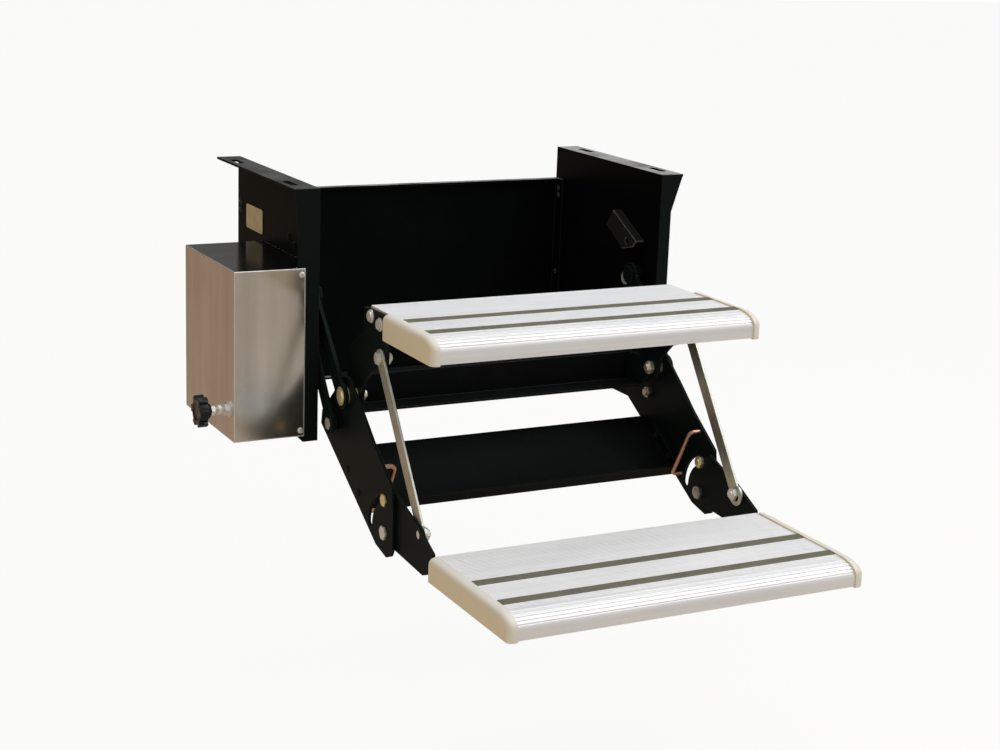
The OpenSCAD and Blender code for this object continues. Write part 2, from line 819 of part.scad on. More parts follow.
// Ribbed hollow section with screw ports and grooves for the grip strips
module tread_section(x0, depth, z, thick, half, strips, ports) {
    flat = depth - nose_len;
    mid = x0 + depth / 2;
    difference() {
        union() {
            difference() {
                yplate(tread_outline(x0, depth, z - rib_h, thick - rib_h, 0), -half, half);
                for (c = [[x0 + tread_wall, mid - tread_wall], [mid, x0 + flat]])
                    block([c[0], -half - 1, z - thick + tread_wall],
                        [c[1], half + 1, z - rib_h - strip_sink - tread_wall]);
            }
            for (x = [x0 + rib_pitch / 2 : rib_pitch : x0 + flat])
                block([x - rib_pitch / 4, -half, z - 2 * rib_h], [x + rib_pitch / 4, half, z]);
            for (p = ports) {
                ycyl(p, -half, half, port_r + 3);
                block([p[0] - tread_wall, -half, z - thick], [p[0] + tread_wall, half, z - 2 * rib_h]);
            }
        }
        for (s = strips) block([x0 + s - strip_w / 2, -half - 1, z - rib_h - strip_sink],
            [x0 + s + strip_w / 2, half + 1, z + 1]);
        for (i = [1 : nose_grooves]) ycyl([x0 + depth - nose_len + nose_len * sin(i * 66 / nose_grooves),
            z - rib_h - nose_fall * (1 - cos(i * 66 / nose_grooves))], -half - 1, half + 1, groove_r);
        for (p = ports) ycyl(p, -half - 1, half + 1, port_r);
    }
}

module grip_strips(x0, z, half, strips) {
    for (s = strips) {
        block([x0 + s - strip_w / 2, -half - strip_over, z - rib_h - strip_sink],
            [x0 + s + strip_w / 2, half + strip_over, z + strip_proud]);
    }
}

module upper_tread() {
    color(alu) tread_section(up_x0, up_depth, up_z, up_thick, up_y0, [up_strip_a, up_strip_b], up_ports);
}

module upper_grip_strips() {
    color(grip) grip_strips(up_x0, up_z, up_y0, [up_strip_a, up_strip_b]);
}

// Side cap, chamfered along its top and front, with notches for the ends of the grip strips
module side_cap(x0, depth, z, thick, start, y0, t, strips) {
    difference() {
        intersection() {
            hull() {
                yplate(tread_outline(x0, depth, z, thick, cap_grow), y0, y0 + t - cap_chamfer);
                yplate(tread_outline(x0, depth - cap_chamfer, z - cap_chamfer, thick - cap_chamfer, cap_grow),
                    y0, y0 + t);
            }
            block([x0 + start, y0 - 1, z - 2 * thick], [x0 + 2 * depth, hw, z + thick]);
        }
        for (s = strips) block([x0 + s - strip_w / 2 - run, y0 - 1, z - rib_h - strip_sink - run],
            [x0 + s + strip_w / 2 + run, y0 + strip_over + run, z + thick]);
    }
}

module upper_cap() {
    side_cap(up_x0, up_depth, up_z, up_thick, up_cap_start, up_y0, up_cap_t, [up_strip_a, up_strip_b]);
}

module upper_cap_left() {
    color(cream) left() upper_cap();
}

module upper_cap_right() {
    color(cream) upper_cap();
}

chan_back = 62;
chan_rise = 8;
chan_fall = 32;
chan_front = 36;
chan_rear = 20;
up_hub_r = 17;
tie_hub_r = 13;
chan_x = A1[0] - chan_back;
chan_top = A1[1] + chan_rise;
chan_bottom = A1[1] - chan_fall;

module upper_bracket() {
    cap_x = up_x0 + up_cap_start - 1;
    difference() {
        union() {
            yplate([[A1[0] + 19, up_z - 4], [cap_x - 3, up_z - 2], [cap_x, up_z - 6],
                [cap_x, up_z - up_thick - 2 * cap_grow], T + [13, 0], T + [6, -12], A1 + [46, 40], A1 + [23, 19], A1 + [12, -12], A1 + [-12, -12],
                A1 + [-31, 11], A1 + [-20, 60], A1 + [19, 84]], up_y0, up_y1);
            yplate([A1 + [0, 16], A1 + [-31, 11], [chan_x - sheet / 2, chan_top],
                [chan_x - sheet / 2, chan_bottom], [chan_x + chan_front, chan_bottom], A1 + [-8, -15]],
                up_y0, up_y1);
            ycyl(T, up_y0, up_y1, tie_hub_r);
            ycyl(A1, up_y0, up_y1, up_hub_r);
        }
        ycyl(A1, up_y0 - 1, up_y1 + 1, bolt_r + run);
        ycyl(T, up_y0 - 1, up_y1 + 1, bolt_r);
        for (p = up_ports) ycyl(p, up_y0 - 1, up_y1 + 1, port_r);
    }
}

module upper_bracket_left() {
    color(black) left() upper_bracket();
}

module upper_bracket_right() {
    color(black) upper_bracket();
}

module upper_cross_channel() {
    x0 = chan_x - sheet / 2;
    color(black) {
        block([x0, -up_y0, chan_bottom], [x0 + sheet, up_y0, chan_top]);
        block([x0, -up_y0, chan_bottom], [chan_x + chan_front, up_y0, chan_bottom + sheet]);
        block([chan_x - chan_rear, -up_y0, chan_top - sheet], [x0 + sheet, up_y0, chan_top]);
    }
}

module upper_tread_bolts() {
    color(zinc) both() for (p = up_ports) {
        ycyl(p, up_y0 - port_len, up_y1, port_r);
        yhex(p, up_y1, up_y1 + head_t, port_hex_r);
    }
}

module tie_top_bolts() {
    color(zinc) both() {
        ycyl(T, up_y0 - nut_t, tie_y1 + slip, bolt_r);
        yhex(T, tie_y1 + slip, tie_y1 + slip + head_t, hex_r);
        yhex(T, up_y0 - nut_t, up_y0, hex_r);
    }
}

module lower_tread() {
    color(alu) tread_section(low_x0, low_depth, low_z, low_thick, low_y0, [low_strip_a, low_strip_b], low_ports);
}

module lower_grip_strips() {
    color(grip) grip_strips(low_x0, low_z, low_y0, [low_strip_a, low_strip_b]);
}

tang_half = 8.5;
low_hub_r = 17;
stop_hub_r = 8.5;
tang_end = low_x0 + 108;

module lower_cap() {
    axis_z = low_z - low_thick / 2;
    difference() {
        side_cap(low_x0, low_depth, low_z, low_thick, low_cap_start, low_y0, low_cap_t, [low_strip_a, low_strip_b]);
        block([low_x0, low_y0 - 1, axis_z - tang_half - slip], [tang_end + slip, low_y1 + slip, axis_z + tang_half + slip]);
        for (p = low_ports) ycyl(p, low_y0, low_y1 + head_t + 2 * slip, port_r + 5);
    }
}

module lower_cap_left() {
    color(cream) left() lower_cap();
}

module lower_cap_right() {
    color(cream) lower_cap();
}

module lower_arm() {
    axis_z = low_z - low_thick / 2;
    cap_x = low_x0 - 1;
    difference() {
        union() {
            yplate([UB + [-7, 6], UB + [2, 9], UB + [17, 15], UB + [43, 6], [B[0], B[1] + 10],
                [cap_x, low_z + 2], [cap_x, axis_z + tang_half], [tang_end, axis_z + tang_half],
                [tang_end, axis_z - tang_half], [cap_x, axis_z - tang_half], [B[0] + 16, LB[1] - 20],
                LB + [9, -15], LB + [-8, 0]], low_y0, low_y1);
            ycyl(LB, low_y0, low_y1, low_hub_r);
            ycyl(UB, low_y0, low_y1, stop_hub_r);
        }
        ycyl(LB, low_y0 - 1, low_y1 + 1, bolt_r + 1 + run);
        ycyl(UB, low_y0 - 1, low_y1 + 1, bolt_r);
        ycyl(B, low_y0 - 1, low_y1 + 1, bolt_r);
        for (p = low_ports) ycyl(p, low_y0 - 1, low_y1 + 1, port_r);
    }
}

module lower_arm_left() {
    color(black) left() lower_arm();
}

module lower_arm_right() {
    color(black) lower_arm();
}

module lower_arm_bolts() {
    color(zinc) both() for (p = low_ports) {
        ycyl(p, low_y0 - port_len, low_y1, port_r);
        yhex(p, low_y1, low_y1 + head_t, port_hex_r);
    }
}

module stop_pins() {
    color(yellow_zinc) both() {
        ycyl(UB, low_y0 - nut_t, arm_y1 + slip, bolt_r);
        yhex(UB, arm_y1 + slip, swing_y0 - 2 * slip, hex_r);
        yhex(UB, low_y0 - nut_t, low_y0, hex_r);
    }
}

module tie_low_bolts() {
    color(zinc) both() {
        ycyl(B, tie_y0 - nut_t - slip, low_y1 - 1, bolt_r);
        yhex(B, tie_y0 - nut_t - slip, tie_y0 - slip, hex_r);
    }
}

// Drawn along its own length, then turned to the line from T to B
module tie_link() {
    d = B - T;
    len = norm(d);
    far = len + tie_travel;
    half = bolt_r + play;
    translate([T[0], 0, T[1]]) rotate([0, -atan2(d[1], d[0]), 0]) difference() {
        union() {
            block([0, tie_y0, -tie_half], [far, tie_y1, tie_half]);
            ycyl([0, 0], tie_y0, tie_y1, tie_half + 2);
            ycyl([len + tie_travel / 2, 0], tie_y0, tie_y1, tie_half + 2 + tie_travel / 2);
        }
        ycyl([0, 0], tie_y0 - 1, tie_y1 + 1, bolt_r + run);
        ycyl([len, 0], tie_y0 - 1, tie_y1 + 1, half);
        block([len, tie_y0 - 1, -half], [far, tie_y1 + 1, half]);
        ycyl([far, 0], tie_y0 - 1, tie_y1 + 1, half);
    }
}

module tie_link_left() {
    color(zinc) left() tie_link();
}

module tie_link_right() {
    color(zinc) tie_link();
}

// Emergency release

knob_y = cover_y + knob_out;
collar_y = cover_y - 30;

module release_nuts() {
    color(yellow_zinc) left() {
        yring(stud_p, cover_y, cover_y + 2, stud_r + 6, stud_r + run);
        difference() {
            yhex(stud_p, cover_y + 2, cover_y + 8, stud_r + 4);
            ycyl(stud_p, cover_y + 1, cover_y + 9, stud_r + run);
        }
    }
}

module release_stud() {
    color(zinc) left() {
        ycyl(stud_p, collar_y - 10, knob_y + knob_t / 2, stud_r);
        yhex(stud_p, knob_y - 11, knob_y - 6, stud_r + 3);
        yring(stud_p, knob_y - 19, knob_y - 15, stud_r + 2.5, stud_r - 0.5);
    }
}

module release_knob() {
    lobe_r = knob_r / 4;
    color(rubber) left() difference() {
        union() {
            ycyl(stud_p, knob_y, knob_y + knob_t, knob_r - lobe_r);
            ycyl(stud_p, knob_y - 6, knob_y, knob_r / 2);
            for (i = [0 : 5]) ycyl(stud_p + (knob_r - lobe_r) * [cos(60 * i), sin(60 * i)],
                knob_y, knob_y + knob_t, lobe_r);
        }
        ycyl(stud_p, knob_y - 7, knob_y + knob_t / 2, stud_r);
    }
}

module release_collar() {
    color(zinc) left() yring(stud_p, collar_y, collar_y + 10, stud_r + 5, stud_r + run);
}

left_side_plate();
right_side_plate();
back_panel();
panel_rivets();
tread_guide_left();
tread_guide_right();
guide_screws();
motor_cover();
cover_screws();
gearbox_housing();
gearbox_screws();
drive_motor();
limit_switch();
cable_grommet();
blank_plate();
shaft_bushes();
idler_pin();
guide_link_pins();
rubber_buffers();
release_nuts();
output_shaft();
shaft_nut();
crank_arm_left();
idler_arm_right();
guide_link_left();
guide_link_right();
main_arm_left();
main_arm_right();
lower_cross_member();
cross_member_screws();
stay_rods();
pivot_bolts();
pivot_washers();
pivot_nuts();
guide_bolts();
guide_washers();
lower_pivot_bolts();
upper_tread();
upper_grip_strips();
upper_cap_left();
upper_cap_right();
upper_bracket_left();
upper_bracket_right();
upper_cross_channel();
upper_tread_bolts();
tie_top_bolts();
lower_tread();
lower_grip_strips();
lower_cap_left();
lower_cap_right();
lower_arm_left();
lower_arm_right();
lower_arm_bolts();
stop_pins();
tie_low_bolts();
tie_link_left();
tie_link_right();
release_knob();
release_stud();
release_collar();
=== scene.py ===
import math

import bpy
from mathutils import Matrix, Vector


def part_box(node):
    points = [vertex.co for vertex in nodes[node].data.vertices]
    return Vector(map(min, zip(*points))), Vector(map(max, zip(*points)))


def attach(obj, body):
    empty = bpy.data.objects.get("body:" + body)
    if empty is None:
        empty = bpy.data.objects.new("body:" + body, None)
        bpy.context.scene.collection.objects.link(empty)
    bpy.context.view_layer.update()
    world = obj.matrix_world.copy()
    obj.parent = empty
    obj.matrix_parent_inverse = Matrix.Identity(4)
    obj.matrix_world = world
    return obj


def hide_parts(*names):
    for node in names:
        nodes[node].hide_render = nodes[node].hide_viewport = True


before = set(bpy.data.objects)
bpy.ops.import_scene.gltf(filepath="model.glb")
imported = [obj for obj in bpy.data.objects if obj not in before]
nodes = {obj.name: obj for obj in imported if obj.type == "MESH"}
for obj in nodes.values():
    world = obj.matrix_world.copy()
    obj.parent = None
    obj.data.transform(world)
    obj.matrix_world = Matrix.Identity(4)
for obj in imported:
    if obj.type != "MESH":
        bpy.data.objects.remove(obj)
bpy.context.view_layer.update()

# Camera at the photograph's angle: in front of the step, to its left and a little above the treads.
# It looks back into the housing through a long lens, and leans a touch to one side.
camera_place = (2.24275, -1.0825, 0.3469)
lens_mm = 67.37
film_mm = 36
sight_end = 50
turn_left = math.radians(27.534)
look_down = math.radians(14.264)
lean = math.radians(2.126)
flat_share = math.cos(look_down)
ahead = Vector((-math.cos(turn_left) * flat_share, math.sin(turn_left) * flat_share, -math.sin(look_down)))
level = Vector((math.sin(turn_left), math.cos(turn_left), 0))
upward = level.cross(ahead)
across = level * math.cos(lean) + upward * math.sin(lean)
over = upward * math.cos(lean) - level * math.sin(lean)
view = Matrix((across, over, -ahead)).transposed().to_4x4()
view.translation = camera_place
bpy.ops.object.select_all(action="DESELECT")
bpy.ops.object.camera_add()
camera = bpy.context.object
camera.name = "camera"
camera.matrix_world = view
camera.data.lens = lens_mm
camera.data.sensor_width = film_mm
camera.data.clip_end = sight_end
bpy.context.scene.camera = camera

# Studio: a pale floor well below the treads and a pale surround, both white to the camera.
# Polished metal sees them dimmer, and warmer towards the left and behind.
# A broad key lamp stands above and to the right, a soft one overhead, and a weak warm one to the left.
scene = bpy.context.scene
scene.view_settings.view_transform = "Standard"
white = (1, 1, 1, 1)


class Wire:
    """A socket in a material, with arithmetic, and a way to add the next node."""

    def __init__(self, tree, socket=None):
        self.tree = tree
        self.socket = socket

    def feed(self, target, value):
        if isinstance(value, Wire):
            self.tree.links.new(value.socket, target)
        else:
            target.default_value = value

    def add(self, kind, settings=None, inputs=None, out=0):
        node = self.tree.nodes.new(kind)
        for key, value in (settings or {}).items():
            setattr(node, key, value)
        for key, value in (inputs or {}).items():
            self.feed(node.inputs[key], value)
        return Wire(self.tree, node.outputs[out]) if node.outputs else None

    def other(self, out):
        return Wire(self.tree, self.socket.node.outputs[out])

    def maths(self, operation, a, b):
        return self.add("ShaderNodeMath", {"operation": operation}, {0: a, 1: b})

    def mix(self, share, one, two):
        return self.add("ShaderNodeMix", {"data_type": "RGBA"}, {0: share, 6: one, 7: two}, 2)

    def span(self, value, low, high, start=0.0, end=1.0):
        return self.add("ShaderNodeMapRange", None, {0: value, 1: low, 2: high, 3: start, 4: end})

    def where(self, kind="Object"):
        return self.add("ShaderNodeTexCoord", None, None, kind)

    def stretch(self, place, scale):
        return self.add("ShaderNodeMapping", None, {"Vector": place, "Scale": scale})

    def apart(self, vector):
        return self.add("ShaderNodeSeparateXYZ", None, {0: vector})

    def noise(self, place, scale, detail=2.0, roughness=0.5):
        sockets = {"Vector": place, "Scale": scale, "Detail": detail, "Roughness": roughness}
        return self.add("ShaderNodeTexNoise", None, sockets, "Fac")

    def bump(self, strength, depth, height):
        return self.add("ShaderNodeBump", None, {"Strength": strength, "Distance": depth, "Height": height})

    def surface(self, sockets):
        shader = self.add("ShaderNodeBsdfPrincipled", None, sockets)
        self.add("ShaderNodeOutputMaterial", None, {"Surface": shader})

    def __add__(self, other):
        return self.maths("ADD", self, other)

    def __radd__(self, other):
        return self.maths("ADD", other, self)

    def __sub__(self, other):
        return self.maths("SUBTRACT", self, other)

    def __rsub__(self, other):
        return self.maths("SUBTRACT", other, self)

    def __mul__(self, other):
        return self.maths("MULTIPLY", self, other)

    def __rmul__(self, other):
        return self.maths("MULTIPLY", other, self)


def blank_material(name):
    material = bpy.data.materials.new(name)
    material.use_nodes = True
    material.node_tree.nodes.clear()
    return material, Wire(material.node_tree)


def pale_floor(name):
    """White to the camera apart from the shadow, and a warm tone in polished metal."""
    shaded_tone = (0.84, 0.76, 0.66, 1)
    mirrored_front = (0.57, 0.495, 0.41, 1)
    mirrored_left = (0.42, 0.255, 0.15, 1)
    camera_share = 0.93
    mirror_share = 0.7
    material, wire = blank_material(name)
    spot = wire.apart(wire.where())
    leftward_share = wire.span(spot * 0.6 + spot.other("Y") * 0.8, 0.6, -1.2)
    mirrored = wire.mix(leftward_share, mirrored_front, mirrored_left)
    rays = wire.add("ShaderNodeLightPath")
    glossy = rays.other("Is Glossy Ray")
    shade = wire.add("ShaderNodeBsdfDiffuse", None, {"Color": shaded_tone})
    glow = wire.add("ShaderNodeEmission", None, {"Color": wire.mix(glossy, white, mirrored)})
    share = wire.maths("MAXIMUM", rays * camera_share, glossy * mirror_share)
    both = wire.add("ShaderNodeMixShader", None, {0: share, 1: shade, 2: glow})
    wire.add("ShaderNodeOutputMaterial", None, {"Surface": both})
    return material


floor_size = 30
floor_height = -0.62
bpy.ops.object.select_all(action="DESELECT")
bpy.ops.mesh.primitive_plane_add(size=floor_size, location=(0, 0, floor_height))
floor = bpy.context.object
floor.name = "floor"
floor.data.materials.append(pale_floor("pale_floor"))

warm_tone = (0.95, 0.75, 0.5, 1)
plain_light = 0.45
warm_dimming = 0.15
rear_dimming = 0.34
world = bpy.data.worlds.new("surround")
scene.world = world
world.use_nodes = True
world.node_tree.nodes.clear()
sky = Wire(world.node_tree)
rays = sky.add("ShaderNodeLightPath")
bearing = sky.apart(sky.where("Generated"))
low_down = sky.span(bearing.other("Z"), 0.75, 0.3)
warm = sky.span(bearing.other("Y"), 0.15, -0.8) * low_down * (1 - rays)
rear = sky.span(bearing, 0.1, -0.7) * low_down
mirrored_sky = rays.other("Is Glossy Ray") * (plain_light - plain_light * low_down - rear_dimming * rear)
strength = sky.maths("MAXIMUM", rays, plain_light - warm_dimming * warm + mirrored_sky)
sky_colours = {"Color": sky.mix(warm, white, warm_tone), "Strength": strength}
sky.add("ShaderNodeOutputWorld", None, {"Surface": sky.add("ShaderNodeBackground", None, sky_colours)})

for name, place, target, size, watts, colour in (
        ("key", (1.1, 1.7, 2.3), (0.3, 0, -0.25), 1.8, 38, (1, 0.985, 0.96)),
        ("top", (-0.2, 0.1, 3.0), (0.2, 0, -0.2), 2.2, 19, (0.97, 0.985, 1)),
        ("left", (1.2, -2.6, 0.6), (0.3, 0, -0.2), 2.0, 5.6, (1, 0.84, 0.66))):
    bpy.ops.object.light_add(type="AREA", location=place)
    lamp = bpy.context.object
    lamp.name = name
    lamp.data.size = size
    lamp.data.energy = watts
    lamp.data.color = colour
    lamp.rotation_euler = (Vector(target) - Vector(place)).to_track_quat("-Z", "Y").to_euler()

# Side plates: folded sheet steel with an outward top flange, slotted for the floor bolts, and a front lip.
# Powder coated black; the coat is thin, a little paler along the folds and cut edges from rubbing and
# painted highlight, and has pale patches on top.
# The left plate has fewer pale patches on top than the right one. The front faces of both plates are
# painted lighter, as a painted front light.


def turn_at_edges(wire, reach, true_face):
    """How far the surface turns within reach of an edge: nothing on a flat face, more towards a corner."""
    rounded = wire.add("ShaderNodeBevel", {"samples": 4}, {"Radius": reach})
    pair = {0: rounded, 1: true_face}
    return 1 - wire.add("ShaderNodeVectorMath", {"operation": "DOT_PRODUCT"}, pair, "Value")


def black_coat(name, tint=(0.002, 0.0026, 0.0027), dust=0.1, gloss=0.36, rub_and_sheen=0.45,
               bare=(0.11, 0.11, 0.112), top_patch_share=0.0, painted_front_light=0.0, shine=0.04):
    """Powder coat with a fine peel, grime, edges paler from rubbing and painted highlight, pale patches on
    upward faces and a painted front light on front faces.
    """
    grime_tone = (0.022, 0.026, 0.0265, 1)
    top_patch_tone = (0.42, 0.425, 0.41, 1)
    painted_front_light_tone = (0.0085, 0.012, 0.0112, 1)
    shine_tone = (0.7, 0.95, 1, 1)
    edge_reach = 0.0013
    material, wire = blank_material(name)
    place = wire.where()
    peel = wire.noise(place, 900, 3)
    cloud = wire.noise(place, 14, 6, 0.6)
    speck = wire.noise(place, 260, 2)
    grime = wire.span(cloud * 0.7 + speck * 0.3, 0.48, 0.75, 0.0, dust)
    true_face = wire.add("ShaderNodeNewGeometry", None, None, "True Normal")
    turned = turn_at_edges(wire, edge_reach, true_face)
    # Edges painted paler: partly rubbed coat, partly painted highlight where the edges would catch the
    # light.
    rubbed_and_sheen = wire.span(turned + cloud * 0.03, 0.03, 0.2, 0.0, rub_and_sheen)
    grimy = wire.mix(grime, (*tint, 1), grime_tone)
    colour = wire.mix(rubbed_and_sheen, grimy, (*bare, 1))
    facing = wire.apart(true_face)
    # Pale grey patches in a cloudy pattern on faces turned upward.
    if top_patch_share:
        lying = wire.span(facing.other("Z"), 0.93, 0.99)
        patches = wire.span(cloud * 0.8 + speck * 0.2, 0.26, 0.56)
        colour = wire.mix(lying * patches * top_patch_share, colour, top_patch_tone)
    # Painted light: faces turned to the front are painted lighter and greener, in place of a front fill
    # lamp.
    if painted_front_light:
        forward = wire.span(facing, 0.9, 0.98)
        colour = wire.mix(forward * painted_front_light, colour, painted_front_light_tone)
    wire.surface({
        "Base Color": colour,
        "Roughness": gloss + cloud * 0.14 + peel * 0.05,
        "Normal": wire.bump(0.1, 0.0003, peel * 0.7 + speck * 0.3),
        "Specular IOR Level": shine,
        "Specular Tint": shine_tone})
    return material


def finish_node(name, material, round_edges):
    """Give a sheet, bar or casting its finish, and take the sharpness off its edges."""
    node = nodes[name]
    node.data.materials.clear()
    node.data.materials.append(material)
    node.modifiers.new("weld", "WELD").merge_threshold = 0.00002
    flat = node.modifiers.new("flat", "DECIMATE")
    flat.decimate_type = "DISSOLVE"
    flat.angle_limit = math.radians(0.4)
    bevel = node.modifiers.new("edges", "BEVEL")
    bevel.width = round_edges
    bevel.segments = 3
    bevel.limit_method = "ANGLE"
    bevel.angle_limit = math.radians(40)
    bevel.use_clamp_overlap = False
    even = node.modifiers.new("even", "WEIGHTED_NORMAL")
    even.mode = "FACE_AREA"
    even.weight = 100


plate_edge = 0.0007
left_tint = (0.0036, 0.0066, 0.0064)
plate_coat = black_coat("plate_coat", top_patch_share=1.0, painted_front_light=0.8)
left_plate_coat = black_coat("left_plate_coat", left_tint, top_patch_share=0.25, painted_front_light=0.8, shine=0.022)
finish_node("left_side_plate", left_plate_coat, plate_edge)
finish_node("right_side_plate", plate_coat, plate_edge)

# Back panel: one black sheet with folded edges, held to the plates by blind rivets through its side tabs.
# Each rivet is black with pale edges, partly worn coat and partly painted highlight. Its low dome outside
# has a hollow where the stem broke off, and its smaller tail shows inside.
thin_edge = 0.0006
finish_node("back_panel", black_coat("panel_coat", top_patch_share=0.9), thin_edge)


def fresh():
    if bpy.context.mode != "OBJECT":
        bpy.ops.object.mode_set(mode="OBJECT")
    bpy.ops.object.select_all(action="DESELECT")


def alone(piece):
    fresh()
    piece.select_set(True)
    bpy.context.view_layer.objects.active = piece


def settle(name):
    """Name the active piece and put its place, turn and size into its mesh."""
    piece = bpy.context.object
    piece.name = piece.data.name = name
    bpy.ops.object.transform_apply(location=True, rotation=True, scale=True)
    return piece


def pick(piece, kind, test):
    """Open a piece for editing with the faces, edges or corners selected that pass a test."""
    alone(piece)
    bpy.ops.object.mode_set(mode="EDIT")
    bpy.ops.mesh.select_mode(type=kind)
    bpy.ops.mesh.select_all(action="DESELECT")
    bpy.ops.object.mode_set(mode="OBJECT")
    mesh = piece.data
    if kind == "FACE":
        for face in mesh.polygons:
            face.select = test(face.center, face.normal)
    elif kind == "VERT":
        for vertex in mesh.vertices:
            vertex.select = test(vertex.co)
    else:
        for edge in mesh.edges:
            edge.select = test(*(mesh.vertices[v].co for v in edge.vertices))
    bpy.ops.object.mode_set(mode="EDIT")


def close_edit():
    bpy.ops.object.mode_set(mode="OBJECT")


def near(a, b, within=0.0001):
    return abs(a - b) < within


def round_blank(name, vertices):
    """A disc one unit high and one in radius, standing on the origin."""
    fresh()
    bpy.ops.mesh.primitive_cylinder_add(vertices=vertices, radius=1, depth=1, location=(0, 0, 0.5))
    return settle(name)


def roll_rim(piece, drop, segments):
    """Roll the upper rim of a disc over, into a low dome if the drop is large."""
    pick(piece, "EDGE", lambda a, b: near(a.z, 1) and near(b.z, 1))
    bpy.ops.mesh.bevel(offset=drop, segments=segments, profile=0.5, affect="EDGES")
    close_edit()


def joined(name, pieces):
    fresh()
    for piece in pieces:
        piece.select_set(True)
    bpy.context.view_layer.objects.active = pieces[0]
    if len(pieces) > 1:
        bpy.ops.object.join()
    return settle(name)


def turned_to(direction):
    return Vector(direction).to_track_quat("Z", "Y").to_euler()


def spread(pattern, name, places):
    """Copy a pattern to each place, turned outwards and sized, and join the copies into one piece."""
    copies = []
    for base, outward, radius, height in places:
        alone(pattern)
        bpy.ops.object.duplicate()
        copy = bpy.context.object
        copy.location = base
        copy.rotation_euler = turned_to(outward)
        copy.scale = (radius, radius, height)
        copies.append(settle(name))
    return joined(name, copies)


def on_both_sides(points, reach, facing, radius, height):
    """Places left and right for each point of the side view, facing out (1) or in (-1)."""
    return [((x, side * reach, z), (0, side * facing, 0), radius, height)
            for side in both_sides for x, z in points]


def dress(piece, material):
    """Give a finished piece its material and smooth its round faces."""
    round_up_to = math.radians(32)
    piece.data.materials.clear()
    piece.data.materials.append(material)
    alone(piece)
    bpy.ops.object.shade_smooth_by_angle(angle=round_up_to)


def fit(piece, material, body, slot, *replaced):
    dress(piece, material)
    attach(piece, body)
    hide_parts(*replaced)


both_sides = (-1, 1)
facing_out = 1
facing_in = -1
plate_in = 0.243
plate_out = 0.246
panel_sheet = 0.002
rivet_x = -0.1335
rivet_points = [(rivet_x, z) for z in (-0.059, -0.069, -0.1815, -0.298)]
rivet_r = 0.0048
rivet_rise = 0.0014
rivet_tail_r = 0.0038
rivet_tail_rise = 0.0012
hollow_rim = 0.08
hollow_depth = 0.5

rivet_head = round_blank("rivet_head", vertices=28)
roll_rim(rivet_head, drop=0.62, segments=5)
pick(rivet_head, "FACE", lambda c, n: n.z > 0.9 and near(c.z, 1))
bpy.ops.mesh.inset(thickness=hollow_rim)
bpy.ops.mesh.extrude_region_move(TRANSFORM_OT_translate={"value": (0, 0, -hollow_depth)})
close_edit()
rivet_places = on_both_sides(rivet_points, plate_out, facing_out, rivet_r, rivet_rise)
tab_in = plate_in - panel_sheet
rivet_places += on_both_sides(rivet_points, tab_in, facing_in, rivet_tail_r, rivet_tail_rise)
rivet_coat = black_coat("rivet_coat", (0.008, 0.008, 0.0085), dust=0.6, gloss=0.34, rub_and_sheen=0.8,
                        bare=(0.3, 0.3, 0.29))
rivets = spread(rivet_head, "panel_rivet_heads", rivet_places)
fit(rivets, rivet_coat, "housing", "black_coat", "panel_rivets")

# Tread guides: small folded channels that steady the treads as they come in, their edges pale, partly worn
# coat and partly painted highlight.
# Each is held by two black screws. The screws have low round heads with a cross recess inside the housing,
# and rounded ends that show outside the plate.
# Pale edges on the guides: partly worn coat, partly painted highlight.
worn_and_highlit_coat = black_coat("worn_and_highlit_coat", (0.018, 0.018, 0.019), dust=1.0, gloss=0.34, rub_and_sheen=1.0,
                       bare=(0.5, 0.5, 0.48))
finish_node("tread_guide_left", worn_and_highlit_coat, thin_edge)
finish_node("tread_guide_right", worn_and_highlit_coat, thin_edge)


def carve(piece, cutter, operation="DIFFERENCE"):
    """Cut one piece with another, and take the cutter away."""
    cut = piece.modifiers.new("cut", "BOOLEAN")
    cut.operation = operation
    cut.object = cutter
    cut.solver = "EXACT"
    alone(piece)
    bpy.ops.object.modifier_apply(modifier="cut")
    bpy.data.objects.remove(cutter)


def block(name, low, high):
    fresh()
    middle = [(a + b) / 2 for a, b in zip(low, high)]
    bpy.ops.mesh.primitive_cube_add(size=1, location=middle, scale=[b - a for a, b in zip(low, high)])
    return settle(name)


recess_reach = 0.62
recess_half = 0.11
recess_floor = 0.35
recess_top = 1.4
screw_head = round_blank("screw_head", vertices=32)
roll_rim(screw_head, drop=0.5, segments=5)
for half_x, half_y in ((recess_reach, recess_half), (recess_half, recess_reach)):
    carve(screw_head, block("recess", (-half_x, -half_y, recess_floor), (half_x, half_y, recess_top)))
screw_tail = round_blank("screw_tail", vertices=20)
roll_rim(screw_tail, drop=0.3, segments=3)

screw_r = 0.0048
screw_rise = 0.0016
guide_sheet = 0.003
guide_corner = Vector((0.0435, -0.0625))
guide_slope = math.radians(27)
guide_run = math.cos(guide_slope)
guide_fall = math.sin(guide_slope)
hole_inset = 0.010
guide_holes = []
for along in (0.010, 0.030):
    hole_x = guide_corner.x + along * guide_run - hole_inset * guide_fall
    hole_z = guide_corner.y - along * guide_fall - hole_inset * guide_run
    guide_holes.append((hole_x, hole_z))
inside = on_both_sides(guide_holes, plate_in - guide_sheet, facing_in, screw_r, screw_rise)
outside = on_both_sides(guide_holes, plate_out, facing_out, screw_r, screw_rise)
heads = spread(screw_head, "guide_screw_heads", inside)
fit(heads, plate_coat, "housing", "black_coat", "guide_screws")
ends = spread(screw_tail, "guide_screw_ends", outside)
dress(ends, plate_coat)
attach(ends, "housing")

# Drive under the cover: cast gear case on the left plate, motor hanging below it, limit switch beside it.
# The case is raw cast aluminium with zinc screws, the motor a black can, the switch a black moulding.


